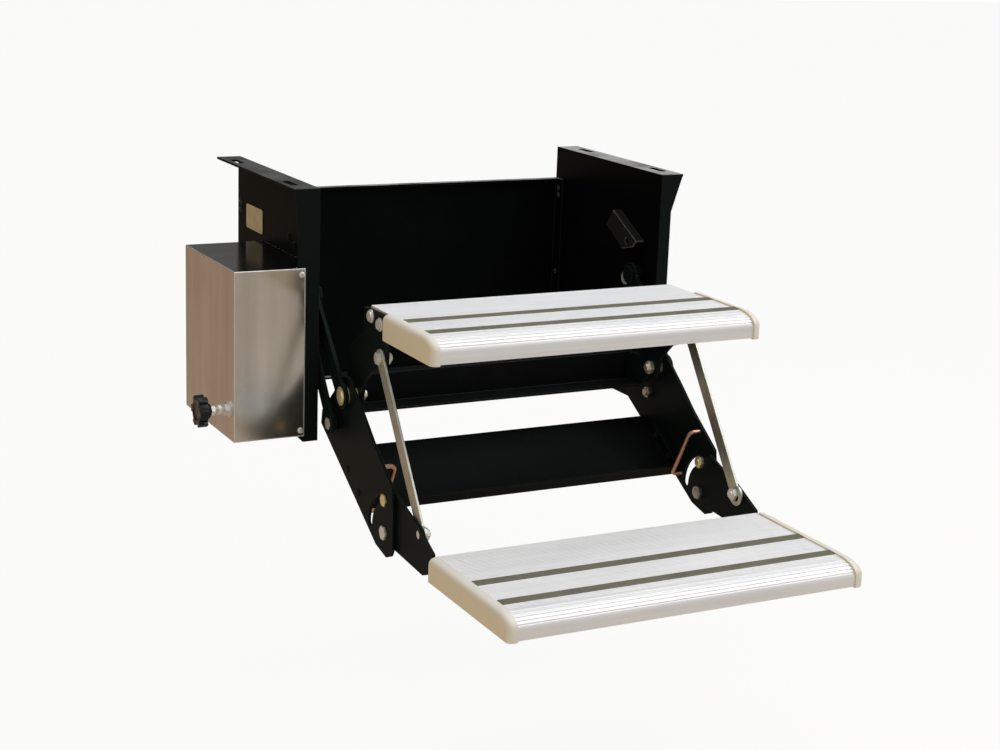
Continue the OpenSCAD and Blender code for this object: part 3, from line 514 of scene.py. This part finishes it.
def plated(name, colour, rough, stain, grain=0.16, metal=1.0):
    """Plated or bare metal with a fine spangle and cloudy stains."""
    material, wire = blank_material(name)
    place = wire.where()
    spangle = wire.noise(place, 420, 4)
    cloud = wire.noise(place, 60, 5)
    wire.surface({
        "Base Color": wire.mix(wire.span(cloud, 0.35, 0.7), (*colour, 1), (*stain, 1)),
        "Metallic": metal,
        "Roughness": rough + spangle * grain,
        "Normal": wire.bump(0.14, 0.0003, spangle)})
    return material


def dark_moulding(name, tint=(0.012, 0.012, 0.012), rough=0.6, specular=0.4):
    """Moulded rubber or plastic with a gritty skin and paler clouds."""
    paler = [1.8 * part for part in tint]
    material, wire = blank_material(name)
    place = wire.where()
    grit = wire.noise(place, 1400, 3)
    cloud = wire.noise(place, 45, 4)
    wire.surface({
        "Base Color": wire.mix(cloud, (*tint, 1), (*paler, 1)),
        "Roughness": rough + cloud * 0.15,
        "Normal": wire.bump(0.25, 0.0003, grit),
        "Specular IOR Level": specular})
    return material


cast_edge = 0.0014
can_edge = 0.001
small_edge = 0.0004
zinc = plated("bright_zinc", colour=(0.9, 0.9, 0.88), rough=0.28, stain=(0.76, 0.75, 0.71), metal=0.65)
cast_case = plated("cast_case", colour=(0.5, 0.5, 0.5), rough=0.45, stain=(0.42, 0.42, 0.42), grain=0.25)
finish_node("gearbox_housing", cast_case, cast_edge)
finish_node("gearbox_screws", zinc, small_edge)
finish_node("drive_motor", black_coat("motor_coat", (0.02, 0.02, 0.021)), can_edge)
finish_node("limit_switch", dark_moulding("switch_body", (0.02, 0.02, 0.022), rough=0.4), small_edge)

# Drive cover: polished stainless sheet folded into a box, held by two screws to the lip of the left plate.
# The rolled grain runs up and down the sheet, with soft smears from handling and slight waves.
# The folds are painted pale, partly scuffed and partly painted highlight. A rubber grommet marks the way
# out for a cable.


def stainless_sheet(name):
    dull_tone = (0.46, 0.445, 0.42, 1)
    bright_tone = (0.6, 0.585, 0.56, 1)
    scuff_and_highlight_tone = (0.88, 0.88, 0.87, 1)
    fold_reach = 0.0024
    material, wire = blank_material(name)
    place = wire.where()
    grain = wire.noise(wire.stretch(place, (60, 60, 1.8)), 9, 6, 0.65)
    streak = wire.noise(wire.stretch(place, (22, 22, 1.6)), 1.6, 3)
    smear = wire.noise(place, 11, 5, 0.55)
    waves = wire.noise(place, 4.5, 1)
    sheet_tone = wire.mix(wire.span(streak * 0.6 + smear * 0.4, 0.36, 0.66), dull_tone, bright_tone)
    true_face = wire.add("ShaderNodeNewGeometry", None, None, "True Normal")
    turned = turn_at_edges(wire, fold_reach, true_face)
    # Folds painted near white and less metallic: partly scuffs, partly painted highlight.
    scuffed_and_highlit = wire.span(turned + smear * 0.03, 0.03, 0.08)
    fine = wire.bump(0.03, 0.0003, grain)
    wavy = {"Strength": 0.05, "Distance": 0.01, "Height": waves, "Normal": fine}
    wire.surface({
        "Base Color": wire.mix(scuffed_and_highlit, sheet_tone, scuff_and_highlight_tone),
        "Metallic": 1 - 0.6 * scuffed_and_highlit,
        "Roughness": 0.07 + smear * 0.1 + grain * 0.05 + scuffed_and_highlit * 0.35,
        "Normal": wire.add("ShaderNodeBump", None, wavy)})
    return material


fold_edge = 0.0012
turned_edge = 0.0005
cover_face = 0.1465
cover_screw_y = -0.2665
cover_screw_heights = (-0.105, -0.302)
cover_screw_r = 0.0036
cover_screw_rise = 0.0022
forward = (1, 0, 0)
finish_node("motor_cover", stainless_sheet("stainless_sheet"), fold_edge)
cover_places = [((cover_face, cover_screw_y, z), forward, cover_screw_r, cover_screw_rise)
                for z in cover_screw_heights]
cover_screws = spread(screw_head, "cover_screw_heads", cover_places)
fit(cover_screws, zinc, "housing", "zinc", "cover_screws")
finish_node("cable_grommet", dark_moulding("grommet_rubber"), turned_edge)

# Blank plate: a small bare metal plate with rounded corners, bonded to the outside of the left plate.
# It is stamped from thin sheet, with its middle pressed in behind a narrow border.
corner_round = 0.004
border_width = 0.0022
border_step = 0.0005
border_depth = 0.00035
plate_low, plate_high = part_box("blank_plate")
blank = block("pressed_plate", plate_low, plate_high)
pick(blank, "EDGE", lambda a, b: near(a.x, b.x) and near(a.z, b.z))
bpy.ops.mesh.bevel(offset=corner_round, segments=5, affect="EDGES")
pick(blank, "FACE", lambda c, n: n.y < -0.9)
bpy.ops.mesh.inset(thickness=border_width)
bpy.ops.mesh.inset(thickness=border_step)
bpy.ops.transform.translate(value=(0, border_depth, 0))
close_edit()
bare_plate = plated("bare_plate", colour=(0.68, 0.67, 0.52), rough=0.3, stain=(0.56, 0.53, 0.38))
fit(blank, bare_plate, "housing", "label_alu", "blank_plate")

# Fixed pivots: bronze bushes in the plates, coloured near black, a black idler pin, zinc guide link pins.
# Two rubber buffers on the back panel catch the main arms when the step is in.
bronze = plated("near_black_bronze", colour=(0.022, 0.019, 0.015), rough=0.46, stain=(0.015, 0.013, 0.011))
arm_coat = black_coat("arm_coat", (0.0047, 0.0088, 0.0082), dust=0.15, rub_and_sheen=0.5)
finish_node("shaft_bushes", bronze, small_edge)
finish_node("idler_pin", arm_coat, plate_edge)
finish_node("guide_link_pins", zinc, small_edge)
finish_node("rubber_buffers", dark_moulding("buffer_rubber"), can_edge)

# Driving arms: the output shaft of the gear case carries the crank arm, the right arm idles on its pin.
# Both arms and the guide links beside them are black coated flat bar.
nut_edge = 0.0008
finish_node("output_shaft", zinc, turned_edge)
finish_node("shaft_nut", arm_coat, nut_edge)
for name in ("crank_arm_left", "idler_arm_right", "guide_link_left", "guide_link_right"):
    finish_node(name, arm_coat, plate_edge)

# Main frame: two black sheet arms joined by a folded web along their rear edges.
# The web's side tabs are held by round headed black screws, whose ends show outside the arms.
web_coat = black_coat("web_coat", (0.0045, 0.0054, 0.005), dust=0.15, rub_and_sheen=0.5)
finish_node("main_arm_left", arm_coat, plate_edge)
finish_node("main_arm_right", arm_coat, plate_edge)
finish_node("lower_cross_member", web_coat, plate_edge)
arm_out = 0.2265
arm_in = 0.2225
web_sheet = 0.003
web_low = Vector((0.15909, -0.32774))
web_along = Vector((math.cos(math.pi / 6), -0.5))
web_up = Vector((0.5, math.cos(math.pi / 6)))
web_hole_up = 0.011
web_head_rise = 0.002
web_holes = [web_low + web_along * along + web_up * web_hole_up for along in (0.044, 0.084)]
web_inside = on_both_sides(web_holes, arm_in - web_sheet, facing_in, screw_r, web_head_rise)
web_outside = on_both_sides(web_holes, arm_out, facing_out, screw_r, screw_rise)
web_heads = spread(screw_head, "web_screw_heads", web_inside)
fit(web_heads, arm_coat, "main_frame", "black_coat", "cross_member_screws")
web_ends = spread(screw_tail, "web_screw_ends", web_outside)
dress(web_ends, arm_coat)
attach(web_ends, "main_frame")
for spare in (rivet_head, screw_head, screw_tail):
    bpy.data.objects.remove(spare)

# Stay rods: coppery wire rod, bent at both ends and let into each main arm from the inside.
# The ends stop just under the outer faces of the arms and are coated black with them.


def copper_rod(name, painted_from):
    """Copper tones, and black paint from a given distance to the side."""
    bright_tone = (0.6, 0.34, 0.22, 1)
    dull_tone = (0.46, 0.27, 0.18, 1)
    paint_tone = (0.0042, 0.0068, 0.007, 1)
    paint_edge = 0.0002
    material, wire = blank_material(name)
    place = wire.where()
    sideways = wire.maths("ABSOLUTE", wire.apart(place).other("Y"), 0.0)
    painted = wire.span(sideways, painted_from - paint_edge, painted_from + paint_edge)
    copper = wire.mix(wire.noise(place, 60, 5), bright_tone, dull_tone)
    wire.surface({
        "Base Color": wire.mix(painted, copper, paint_tone),
        "Metallic": 1 - painted,
        "Roughness": 0.3 + wire.noise(place, 420, 4) * 0.16,
        "Specular IOR Level": 0.04})
    return material


rod_r = 0.00275
rod_y = 0.20665
rod_end = arm_out - 0.0005
bend = 0.007
bend_steps = 8
rod_top = Vector((0.303, -0.309))
rod_foot = web_low + web_along * 0.117 + web_up * 0.013
slope = (rod_foot - rod_top).normalized()
rods = []
for side in both_sides:
    path = [(rod_top.x, rod_end, rod_top.y)]
    for end, away in ((rod_top, slope), (rod_foot, -slope)):
        turn = []
        for step in range(bend_steps + 1):
            angle = step / bend_steps * math.pi / 2
            along = bend * (1 - math.cos(angle))
            inward = bend * (1 - math.sin(angle))
            turn.append((end.x + away.x * along, rod_y + inward, end.y + away.y * along))
        path += turn if end is rod_top else turn[::-1]
    path.append((rod_foot.x, rod_end, rod_foot.y))
    fresh()
    rod_line = bpy.data.curves.new("stay_rod", "CURVE")
    rod_line.dimensions = "3D"
    rod_line.bevel_depth = rod_r
    rod_line.bevel_resolution = 5
    rod_line.use_fill_caps = True
    line = rod_line.splines.new("POLY")
    line.points.add(len(path) - 1)
    for point, (x, y, z) in zip(line.points, path):
        point.co = (x, side * y, z, 1)
    rod = bpy.data.objects.new("stay_rod", rod_line)
    scene.collection.objects.link(rod)
    alone(rod)
    bpy.ops.object.convert(target="MESH")
    rods.append(bpy.context.object)
stay_rods = joined("bent_stay_rods", rods)
fit(stay_rods, copper_rod("copper_rod", arm_in), "main_frame", "copper_rod", "stay_rods")

# Pivot hardware of the main frame: hexagon bolts and nuts with chamfered corners, and washers.
# Bright zinc, with the nuts at the guide bolts and lower pivots painted darker as painted shade, and black
# washers on the guide bolts.
# The front pivots have pale bolts and nuts, yellow passivated washers and a yellow ring under each head.


def hexagon_blank(name):
    """A hexagon one unit high and one in radius, its upper corners turned off by a cone."""
    chamfer_drop = 0.18
    chamfer_top = 0.84
    fresh()
    bpy.ops.mesh.primitive_cylinder_add(
        vertices=6, radius=1, depth=1, location=(0, 0, 0.5), rotation=(0, 0, math.pi / 2))
    hexagon_bar = settle(name)
    cone = round_blank("cone", vertices=48)
    pick(cone, "FACE", lambda c, n: n.z > 0.9)
    bpy.ops.transform.translate(value=(0, 0, -chamfer_drop))
    bpy.ops.mesh.extrude_region_move(TRANSFORM_OT_translate={"value": (0, 0, chamfer_drop)})
    bpy.ops.transform.resize(value=(chamfer_top, chamfer_top, 1), center_override=(0, 0, 1))
    close_edit()
    carve(hexagon_bar, cone, operation="INTERSECT")
    return hexagon_bar


def bolt_set(name, point, hexes, bars, material, body, slot, *replaced):
    """Hexagons and round bars on one axis, on both sides: each as from, to and radius across the width."""
    x, z = point
    made = []
    for pattern, rows in ((hexagon, hexes), (shank, bars)):
        places = []
        for side in both_sides:
            for start, stop, radius in rows:
                facing = side if stop > start else -side
                places.append(((x, side * start, z), (0, facing, 0), radius, abs(stop - start)))
        if places:
            made.append(spread(pattern, name + "_part", places))
    fit(joined(name, made), material, body, slot, *replaced)


hexagon = hexagon_blank("hexagon")
shank = round_blank("shank", vertices=24)
roll_rim(shank, drop=0.12, segments=2)

bolt_hex = 0.008
bolt_bar = 0.005
front_pivot = (0.197, -0.248)
front_head = (0.2349, 0.2361, bolt_hex)
front_bar = (0.2355, 0.2005, bolt_bar)
front_nut = (0.2094, 0.2039, 0.009)
front_ring = (0.2345, 0.2349, 0.0118)
pale_zinc = plated("pale_zinc", colour=(0.95, 0.92, 0.8), rough=0.42, stain=(0.9, 0.85, 0.7))
bolt_set("front_pivot_bolts", front_pivot, [front_head], [front_bar],
         pale_zinc, "main_frame", "zinc", "pivot_bolts")
bolt_set("front_pivot_nuts", front_pivot, [front_nut], [],
         pale_zinc, "main_frame", "cream_plastic", "pivot_nuts")
yellow_zinc = plated("yellow_zinc", colour=(0.97, 0.88, 0.46), rough=0.38, stain=(0.88, 0.82, 0.55))
finish_node("pivot_washers", yellow_zinc, small_edge)
bolt_set("front_pivot_rings", front_pivot, [], [front_ring], yellow_zinc, "main_frame", "yellow_zinc")

washer_edge = 0.0003
guide_point = (0.175, -0.288)
guide_head = (0.2418, 0.2427, bolt_hex)
guide_bar = (0.242, 0.2225, bolt_bar)
guide_nut = (0.2225, 0.217, bolt_hex)
guide_bar_end = (0.2225, 0.2145, bolt_bar)
finish_node("guide_washers", arm_coat, washer_edge)
bolt_set("guide_bolt_set", guide_point, [guide_head], [guide_bar],
         zinc, "main_frame", "zinc", "guide_bolts")

low_pivot = (0.317, -0.386)
low_hex = 0.009
low_bar_r = 0.006
low_head = (0.2265, 0.2289, low_hex)
low_bar = (0.2275, 0.2172, low_bar_r)
low_washer = (0.2218, 0.2225, 0.010)
low_nut = (0.2172, 0.212, low_hex)
low_bar_end = (0.2172, 0.2105, low_bar_r)
bolt_set("lower_pivot_bolt_set", low_pivot, [low_head], [low_bar, low_washer],
         zinc, "main_frame", "zinc", "lower_pivot_bolts")
# Painted shade: the nuts inside the arms get a darker zinc.
shaded_zinc = plated("shaded_zinc", colour=(0.52, 0.52, 0.5), rough=0.34, stain=(0.3, 0.3, 0.285))
bolt_set("guide_bolt_nuts", guide_point, [guide_nut], [guide_bar_end], shaded_zinc, "main_frame", "zinc")
bolt_set("lower_pivot_nuts", low_pivot, [low_nut], [low_bar_end], shaded_zinc, "main_frame", "zinc")

# Upper step: ribbed aluminium section between two black brackets, with a cross channel behind it.
# Two olive grip strips lie in grooves, and off-white moulded caps close the ends.
# The caps are off-white with light and shade painted on: pale on top and in front, yellower on the sides as
# painted warm shade. Zinc bolts hold the tread to the brackets.


def anodised_tread(name, dull, bright):
    """Pale anodised aluminium with fine lines along the section and a light scuff."""
    material, wire = blank_material(name)
    place = wire.where()
    lines = wire.noise(wire.stretch(place, (330, 3.5, 330)), 1.0, 3)
    cloud = wire.noise(wire.stretch(place, (16, 4, 16)), 1.0, 5)
    scuff = wire.noise(place, 110, 4)
    wire.surface({
        "Base Color": wire.mix(wire.span(cloud * 0.5 + lines * 0.5, 0.3, 0.68), (*dull, 1), (*bright, 1)),
        "Metallic": 0.4,
        "Roughness": 0.4 + scuff * 0.14 + lines * 0.06,
        "Normal": wire.bump(0.07, 0.0004, lines)})
    return material


def cream_plastic(name):
    side_shade_tone = (0.8, 0.7, 0.5, 1)
    side_shade_pale_tone = (0.85, 0.755, 0.57, 1)
    top_front_lit_tone = (0.915, 0.89, 0.81, 1)
    material, wire = blank_material(name)
    place = wire.where()
    cloud = wire.noise(place, 22, 5)
    grain = wire.noise(place, 1500, 2)
    facing = wire.apart(wire.add("ShaderNodeNewGeometry", None, None, "Normal"))
    # Painted light and shade: faces turned up or forward are pale, the sides a yellower painted shade.
    top_front_painted_light = wire.span(wire.maths("MAXIMUM", facing.other("Z"), facing * 0.8), 0.15, 0.8)
    side_shade = wire.mix(cloud, side_shade_tone, side_shade_pale_tone)
    wire.surface({
        "Base Color": wire.mix(top_front_painted_light, side_shade, top_front_lit_tone),
        "Roughness": 0.34 + cloud * 0.14,
        "Normal": wire.bump(0.1, 0.0003, grain)})
    return material


def ribbed_strips(name, node, middles, reach):
    """Rubber strips with fine ribs along them and rounded ends, one at each middle, from cap to cap."""
    half = 0.0065
    ribs = 9
    groove = 0.0005
    end_round = 0.003
    pitch = 2 * half / ribs
    low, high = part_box(node)
    strips = []
    for middle in middles:
        strip = block(name, (middle - half, -reach, low.z), (middle + half, reach, high.z))
        pick(strip, "EDGE", lambda a, b: near(a.x, b.x) and near(a.y, b.y))
        bpy.ops.mesh.bevel(offset=end_round, segments=5, affect="EDGES")
        for rib in range(1, ribs):
            bpy.ops.mesh.select_all(action="SELECT")
            bpy.ops.mesh.bisect(plane_co=(middle - half + rib * pitch, 0, 0), plane_no=(1, 0, 0))
        pick(strip, "FACE", lambda c, n: n.z > 0.9 and int((c.x - middle + half) / pitch) % 2 == 1)
        bpy.ops.mesh.extrude_region_move(TRANSFORM_OT_translate={"value": (0, 0, -groove)})
        close_edit()
        strips.append(strip)
    return joined(name, strips)


def moulded_cap(name, node):
    """End cap: a block with an elliptical nose and a full round along its outer top and front."""
    nose = 0.0306
    fall = 0.015
    outer_round = 0.0078
    lower_round = 0.0012
    stretch = nose / fall
    low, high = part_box(node)

    def front_top(a, b):
        return near(a.x, high.x) and near(b.x, high.x) and near(a.z, high.z) and near(b.z, high.z)

    def outer_rim(a, b):
        outer = near(a.y, high.y) and near(b.y, high.y)
        bottom = near(a.z, low.z) and near(b.z, low.z)
        rear_end = near(a.x, low.x) and near(b.x, low.x)
        return outer and not bottom and not rear_end

    def lower_rim(a, b):
        bottom = near(a.z, low.z) and near(b.z, low.z)
        inner = near(a.y, low.y) and near(b.y, low.y)
        return bottom and not inner

    cap = block(name, low, high)
    bpy.ops.object.mode_set(mode="EDIT")
    bpy.ops.mesh.select_all(action="SELECT")
    bpy.ops.transform.resize(value=(1, 1, stretch), center_override=high)
    pick(cap, "EDGE", front_top)
    bpy.ops.mesh.bevel(offset=nose, segments=14, profile=0.5, affect="EDGES")
    bpy.ops.mesh.select_all(action="SELECT")
    bpy.ops.transform.resize(value=(1, 1, 1 / stretch), center_override=high)
    pick(cap, "EDGE", outer_rim)
    bpy.ops.mesh.bevel(offset=outer_round, segments=6, profile=0.5, affect="EDGES")
    pick(cap, "EDGE", lower_rim)
    bpy.ops.mesh.bevel(offset=lower_round, segments=3, profile=0.5, affect="EDGES")
    close_edit()
    return cap


def left_copy(piece, name):
    """The same piece for the left side, turned the right way out again."""
    alone(piece)
    bpy.ops.object.duplicate()
    twin = bpy.context.object
    twin.name = twin.data.name = name
    bpy.ops.object.mode_set(mode="EDIT")
    bpy.ops.mesh.select_all(action="SELECT")
    bpy.ops.transform.resize(value=(1, -1, 1), center_override=(0, 0, 0))
    bpy.ops.mesh.normals_make_consistent(inside=False)
    close_edit()
    return twin


rib_edge = 0.00022
upper_strips = (0.324, 0.383)
upper_strip_reach = 0.2095
tread_metal = anodised_tread("anodised_tread", dull=(0.79, 0.806, 0.835), bright=(0.93, 0.938, 0.955))
grip = dark_moulding("grip_strip", (0.158, 0.158, 0.115), rough=0.55, specular=0.5)
cap_plastic = cream_plastic("cap_plastic")
finish_node("upper_tread", tread_metal, rib_edge)
upper_grips = ribbed_strips("upper_grips", "upper_grip_strips", upper_strips, upper_strip_reach)
fit(upper_grips, grip, "upper_step", "grip_rubber", "upper_grip_strips")
upper_cap = moulded_cap("upper_end_cap_right", "upper_cap_right")
upper_twin = left_copy(upper_cap, "upper_end_cap_left")
fit(upper_cap, cap_plastic, "upper_step", "cream_plastic", "upper_cap_right")
fit(upper_twin, cap_plastic, "upper_step", "cream_plastic", "upper_cap_left")
finish_node("upper_bracket_left", arm_coat, plate_edge)
finish_node("upper_bracket_right", arm_coat, plate_edge)
finish_node("upper_cross_channel", web_coat, plate_edge)

rear_tread_bolt = (0.239, -0.1405)
front_tread_bolt = (0.266, -0.145)
tread_head = (0.2137, 0.2177, 0.0068)
tread_washer = (0.2137, 0.2149, 0.0082)
bolt_set("tread_bolts_0", rear_tread_bolt, [tread_head], [tread_washer],
         zinc, "upper_step", "zinc", "upper_tread_bolts")
bolt_set("tread_bolts_1", front_tread_bolt, [tread_head], [tread_washer], zinc, "upper_step", "zinc")

tie_top = (0.273, -0.184)
tie_top_head = (0.2174, 0.2214, bolt_hex)
tie_top_nut = (0.2097, 0.2042, bolt_hex)
tie_top_bar = (0.2174, 0.2017, bolt_bar)
bolt_set("tie_top_bolt_set", tie_top, [tie_top_head, tie_top_nut], [tie_top_bar],
         zinc, "upper_step", "zinc", "tie_top_bolts")

# Lower step: the same section, wider and deeper, on two black arms inside its caps; its tread is a brighter
# copy of the same metal, painted light.
# Yellow passivated stop pins in the arms travel in the slots of the main arms.
lower_strips = (0.538, 0.599)
lower_strip_reach = 0.2173
# Painted light: the same anodised metal, painted brighter for the lower tread.
brighter_lit_tread = anodised_tread("brighter_lit_tread", dull=(0.82, 0.835, 0.862), bright=(0.95, 0.957, 0.97))
finish_node("lower_tread", brighter_lit_tread, rib_edge)
lower_grips = ribbed_strips("lower_grips", "lower_grip_strips", lower_strips, lower_strip_reach)
fit(lower_grips, grip, "lower_step", "grip_rubber", "lower_grip_strips")
lower_cap = moulded_cap("lower_end_cap_right", "lower_cap_right")
lower_twin = left_copy(lower_cap, "lower_end_cap_left")
fit(lower_cap, cap_plastic, "lower_step", "cream_plastic", "lower_cap_right")
fit(lower_twin, cap_plastic, "lower_step", "cream_plastic", "lower_cap_left")
finish_node("lower_arm_left", arm_coat, plate_edge)
finish_node("lower_arm_right", arm_coat, plate_edge)
finish_node("lower_arm_bolts", zinc, turned_edge)

stop_point = (0.317, -0.3455)
stop_head = (0.2268, 0.2289, bolt_hex)
stop_nut = (0.2175, 0.212, bolt_hex)
stop_bar = (0.2275, 0.2105, bolt_bar)
bolt_set("stop_pin_set", stop_point, [stop_head, stop_nut], [stop_bar],
         yellow_zinc, "lower_step", "yellow_zinc", "stop_pins")

tie_low = (0.40083, -0.36225)
tie_low_nut = (0.2138, 0.2083, bolt_hex)
tie_low_bar = (0.2205, 0.2062, bolt_bar)
bolt_set("tie_low_bolt_set", tie_low, [tie_low_nut], [tie_low_bar],
         zinc, "lower_step", "zinc", "tie_low_bolts")

# Tie links: flat zinc plated strips that hold the lower step to the upper one, one on each side.
# They hang on the upper bolt by an eye, and a slot at their lower end slides on the lower bolt.
tie_zinc = plated("tie_zinc", colour=(0.61, 0.64, 0.57), rough=0.38, stain=(0.49, 0.51, 0.45))
finish_node("tie_link_left", tie_zinc, thin_edge)
finish_node("tie_link_right", tie_zinc, thin_edge)

# Emergency release: threaded stud through the cover, with a washer and nut outside and a black star knob.
# The thread is rolled. A sliding collar rides on the stud under the cover.
# The knob is a glossy moulding with six lobes, a neck behind and a shallow dish in front.
leftward = (0, -1, 0)
stud_x = 0.130
stud_z = -0.270
cover_left = 0.353
knob_back = 0.384
stud_r = 0.004
core_r = 0.0039
core_start = 0.313
core_length = cover_left - 0.312
pitch = 0.00125
turns = 27
thread_sunk = 0.0005
fresh()
bpy.ops.mesh.primitive_plane_add(
    size=pitch / math.sqrt(2), location=(stud_r - pitch / 2, 0, 0), rotation=(math.pi / 2, math.pi / 4, 0))
thread = settle("thread")
pick(thread, "VERT", lambda v: v.x < stud_r - 0.6 * pitch)
bpy.ops.mesh.delete(type="VERT")
close_edit()
rolled = thread.modifiers.new("rolled", "SCREW")
rolled.screw_offset = pitch
rolled.iterations = turns
rolled.steps = rolled.render_steps = 20
rolled.use_merge_vertices = True
rolled.merge_threshold = 0.00001
alone(thread)
bpy.ops.object.modifier_apply(modifier="rolled")
pick(thread, "FACE", lambda c, n: True)
bpy.ops.mesh.normals_make_consistent(inside=False)
close_edit()
thread.location = (stud_x, thread_sunk - cover_left, stud_z)
thread.rotation_euler = turned_to(leftward)
alone(thread)
settle("thread")

ring_y = 0.019 - knob_back
jam_nut_y = 0.011 - knob_back
washer_r = 0.010
washer_rise = 0.002
core = ((stud_x, -core_start, stud_z), leftward, core_r, core_length)
ring = ((stud_x, ring_y, stud_z), leftward, 0.0065, 0.004)
jam_nut = ((stud_x, jam_nut_y, stud_z), leftward, 0.007, 0.005)
washer = ((stud_x, -cover_left, stud_z), leftward, washer_r, washer_rise)
cover_nut = ((stud_x, -cover_left - washer_rise, stud_z), leftward, 0.008, 0.006)
stud_bars = spread(shank, "stud_bars", [core, ring])
stud_hex = spread(hexagon, "stud_hex", [jam_nut])
fit(joined("threaded_stud", [thread, stud_bars, stud_hex]), zinc, "release_screw", "zinc", "release_stud")
stud_washer = spread(shank, "stud_washer", [washer])
stud_nut = spread(hexagon, "stud_nut", [cover_nut])
fit(joined("release_nut_set", [stud_washer, stud_nut]), zinc, "housing", "zinc", "release_nuts")
finish_node("release_collar", zinc, small_edge)

knob_r = 0.0155
knob_depth = 0.012
lobe_turn = 60
lobe_half = 15
lobe_rise = 0.0045
neck_inset = 0.006
neck_length = 0.006
neck_taper = 0.86
dish_inset = 0.004
dish_depth = 0.0014
dish_taper = 0.84
near_axis = 0.002


def on_lobe(c, n):
    angle = math.degrees(math.atan2(n.y, n.x)) % lobe_turn
    return abs(n.z) < 0.1 and (angle < lobe_half or angle > lobe_turn - lobe_half)


knob = round_blank("star_knob", vertices=48)
knob.scale = (knob_r, knob_r, knob_depth)
settle("star_knob")
pick(knob, "FACE", on_lobe)
bpy.ops.mesh.extrude_region_shrink_fatten(TRANSFORM_OT_shrink_fatten={"value": lobe_rise})
pick(knob, "FACE", lambda c, n: n.z < -0.9 and c.xy.length < near_axis)
bpy.ops.mesh.inset(thickness=neck_inset)
bpy.ops.mesh.extrude_region_move(TRANSFORM_OT_translate={"value": (0, 0, -neck_length)})
bpy.ops.transform.resize(value=(neck_taper, neck_taper, 1), center_override=(0, 0, -neck_length))
pick(knob, "FACE", lambda c, n: n.z > 0.9 and c.xy.length < near_axis)
bpy.ops.mesh.inset(thickness=dish_inset)
bpy.ops.mesh.extrude_region_move(TRANSFORM_OT_translate={"value": (0, 0, -dish_depth)})
bpy.ops.transform.resize(value=(dish_taper, dish_taper, 1), center_override=(0, 0, knob_depth - dish_depth))
close_edit()
soft = knob.modifiers.new("soft", "BEVEL")
soft.width = 0.0019
soft.segments = 4
soft.limit_method = "ANGLE"
soft.angle_limit = math.radians(28)
alone(knob)
bpy.ops.object.modifier_apply(modifier="soft")
knob.location = (stud_x, -knob_back, stud_z)
knob.rotation_euler = turned_to(leftward)
settle("star_knob")
knob_plastic = dark_moulding("knob_plastic", (0.004, 0.005, 0.007), rough=0.2, specular=0.3)
fit(knob, knob_plastic, "release_screw", "black_plastic", "release_knob")
for spare in (hexagon, shank):
    bpy.data.objects.remove(spare)
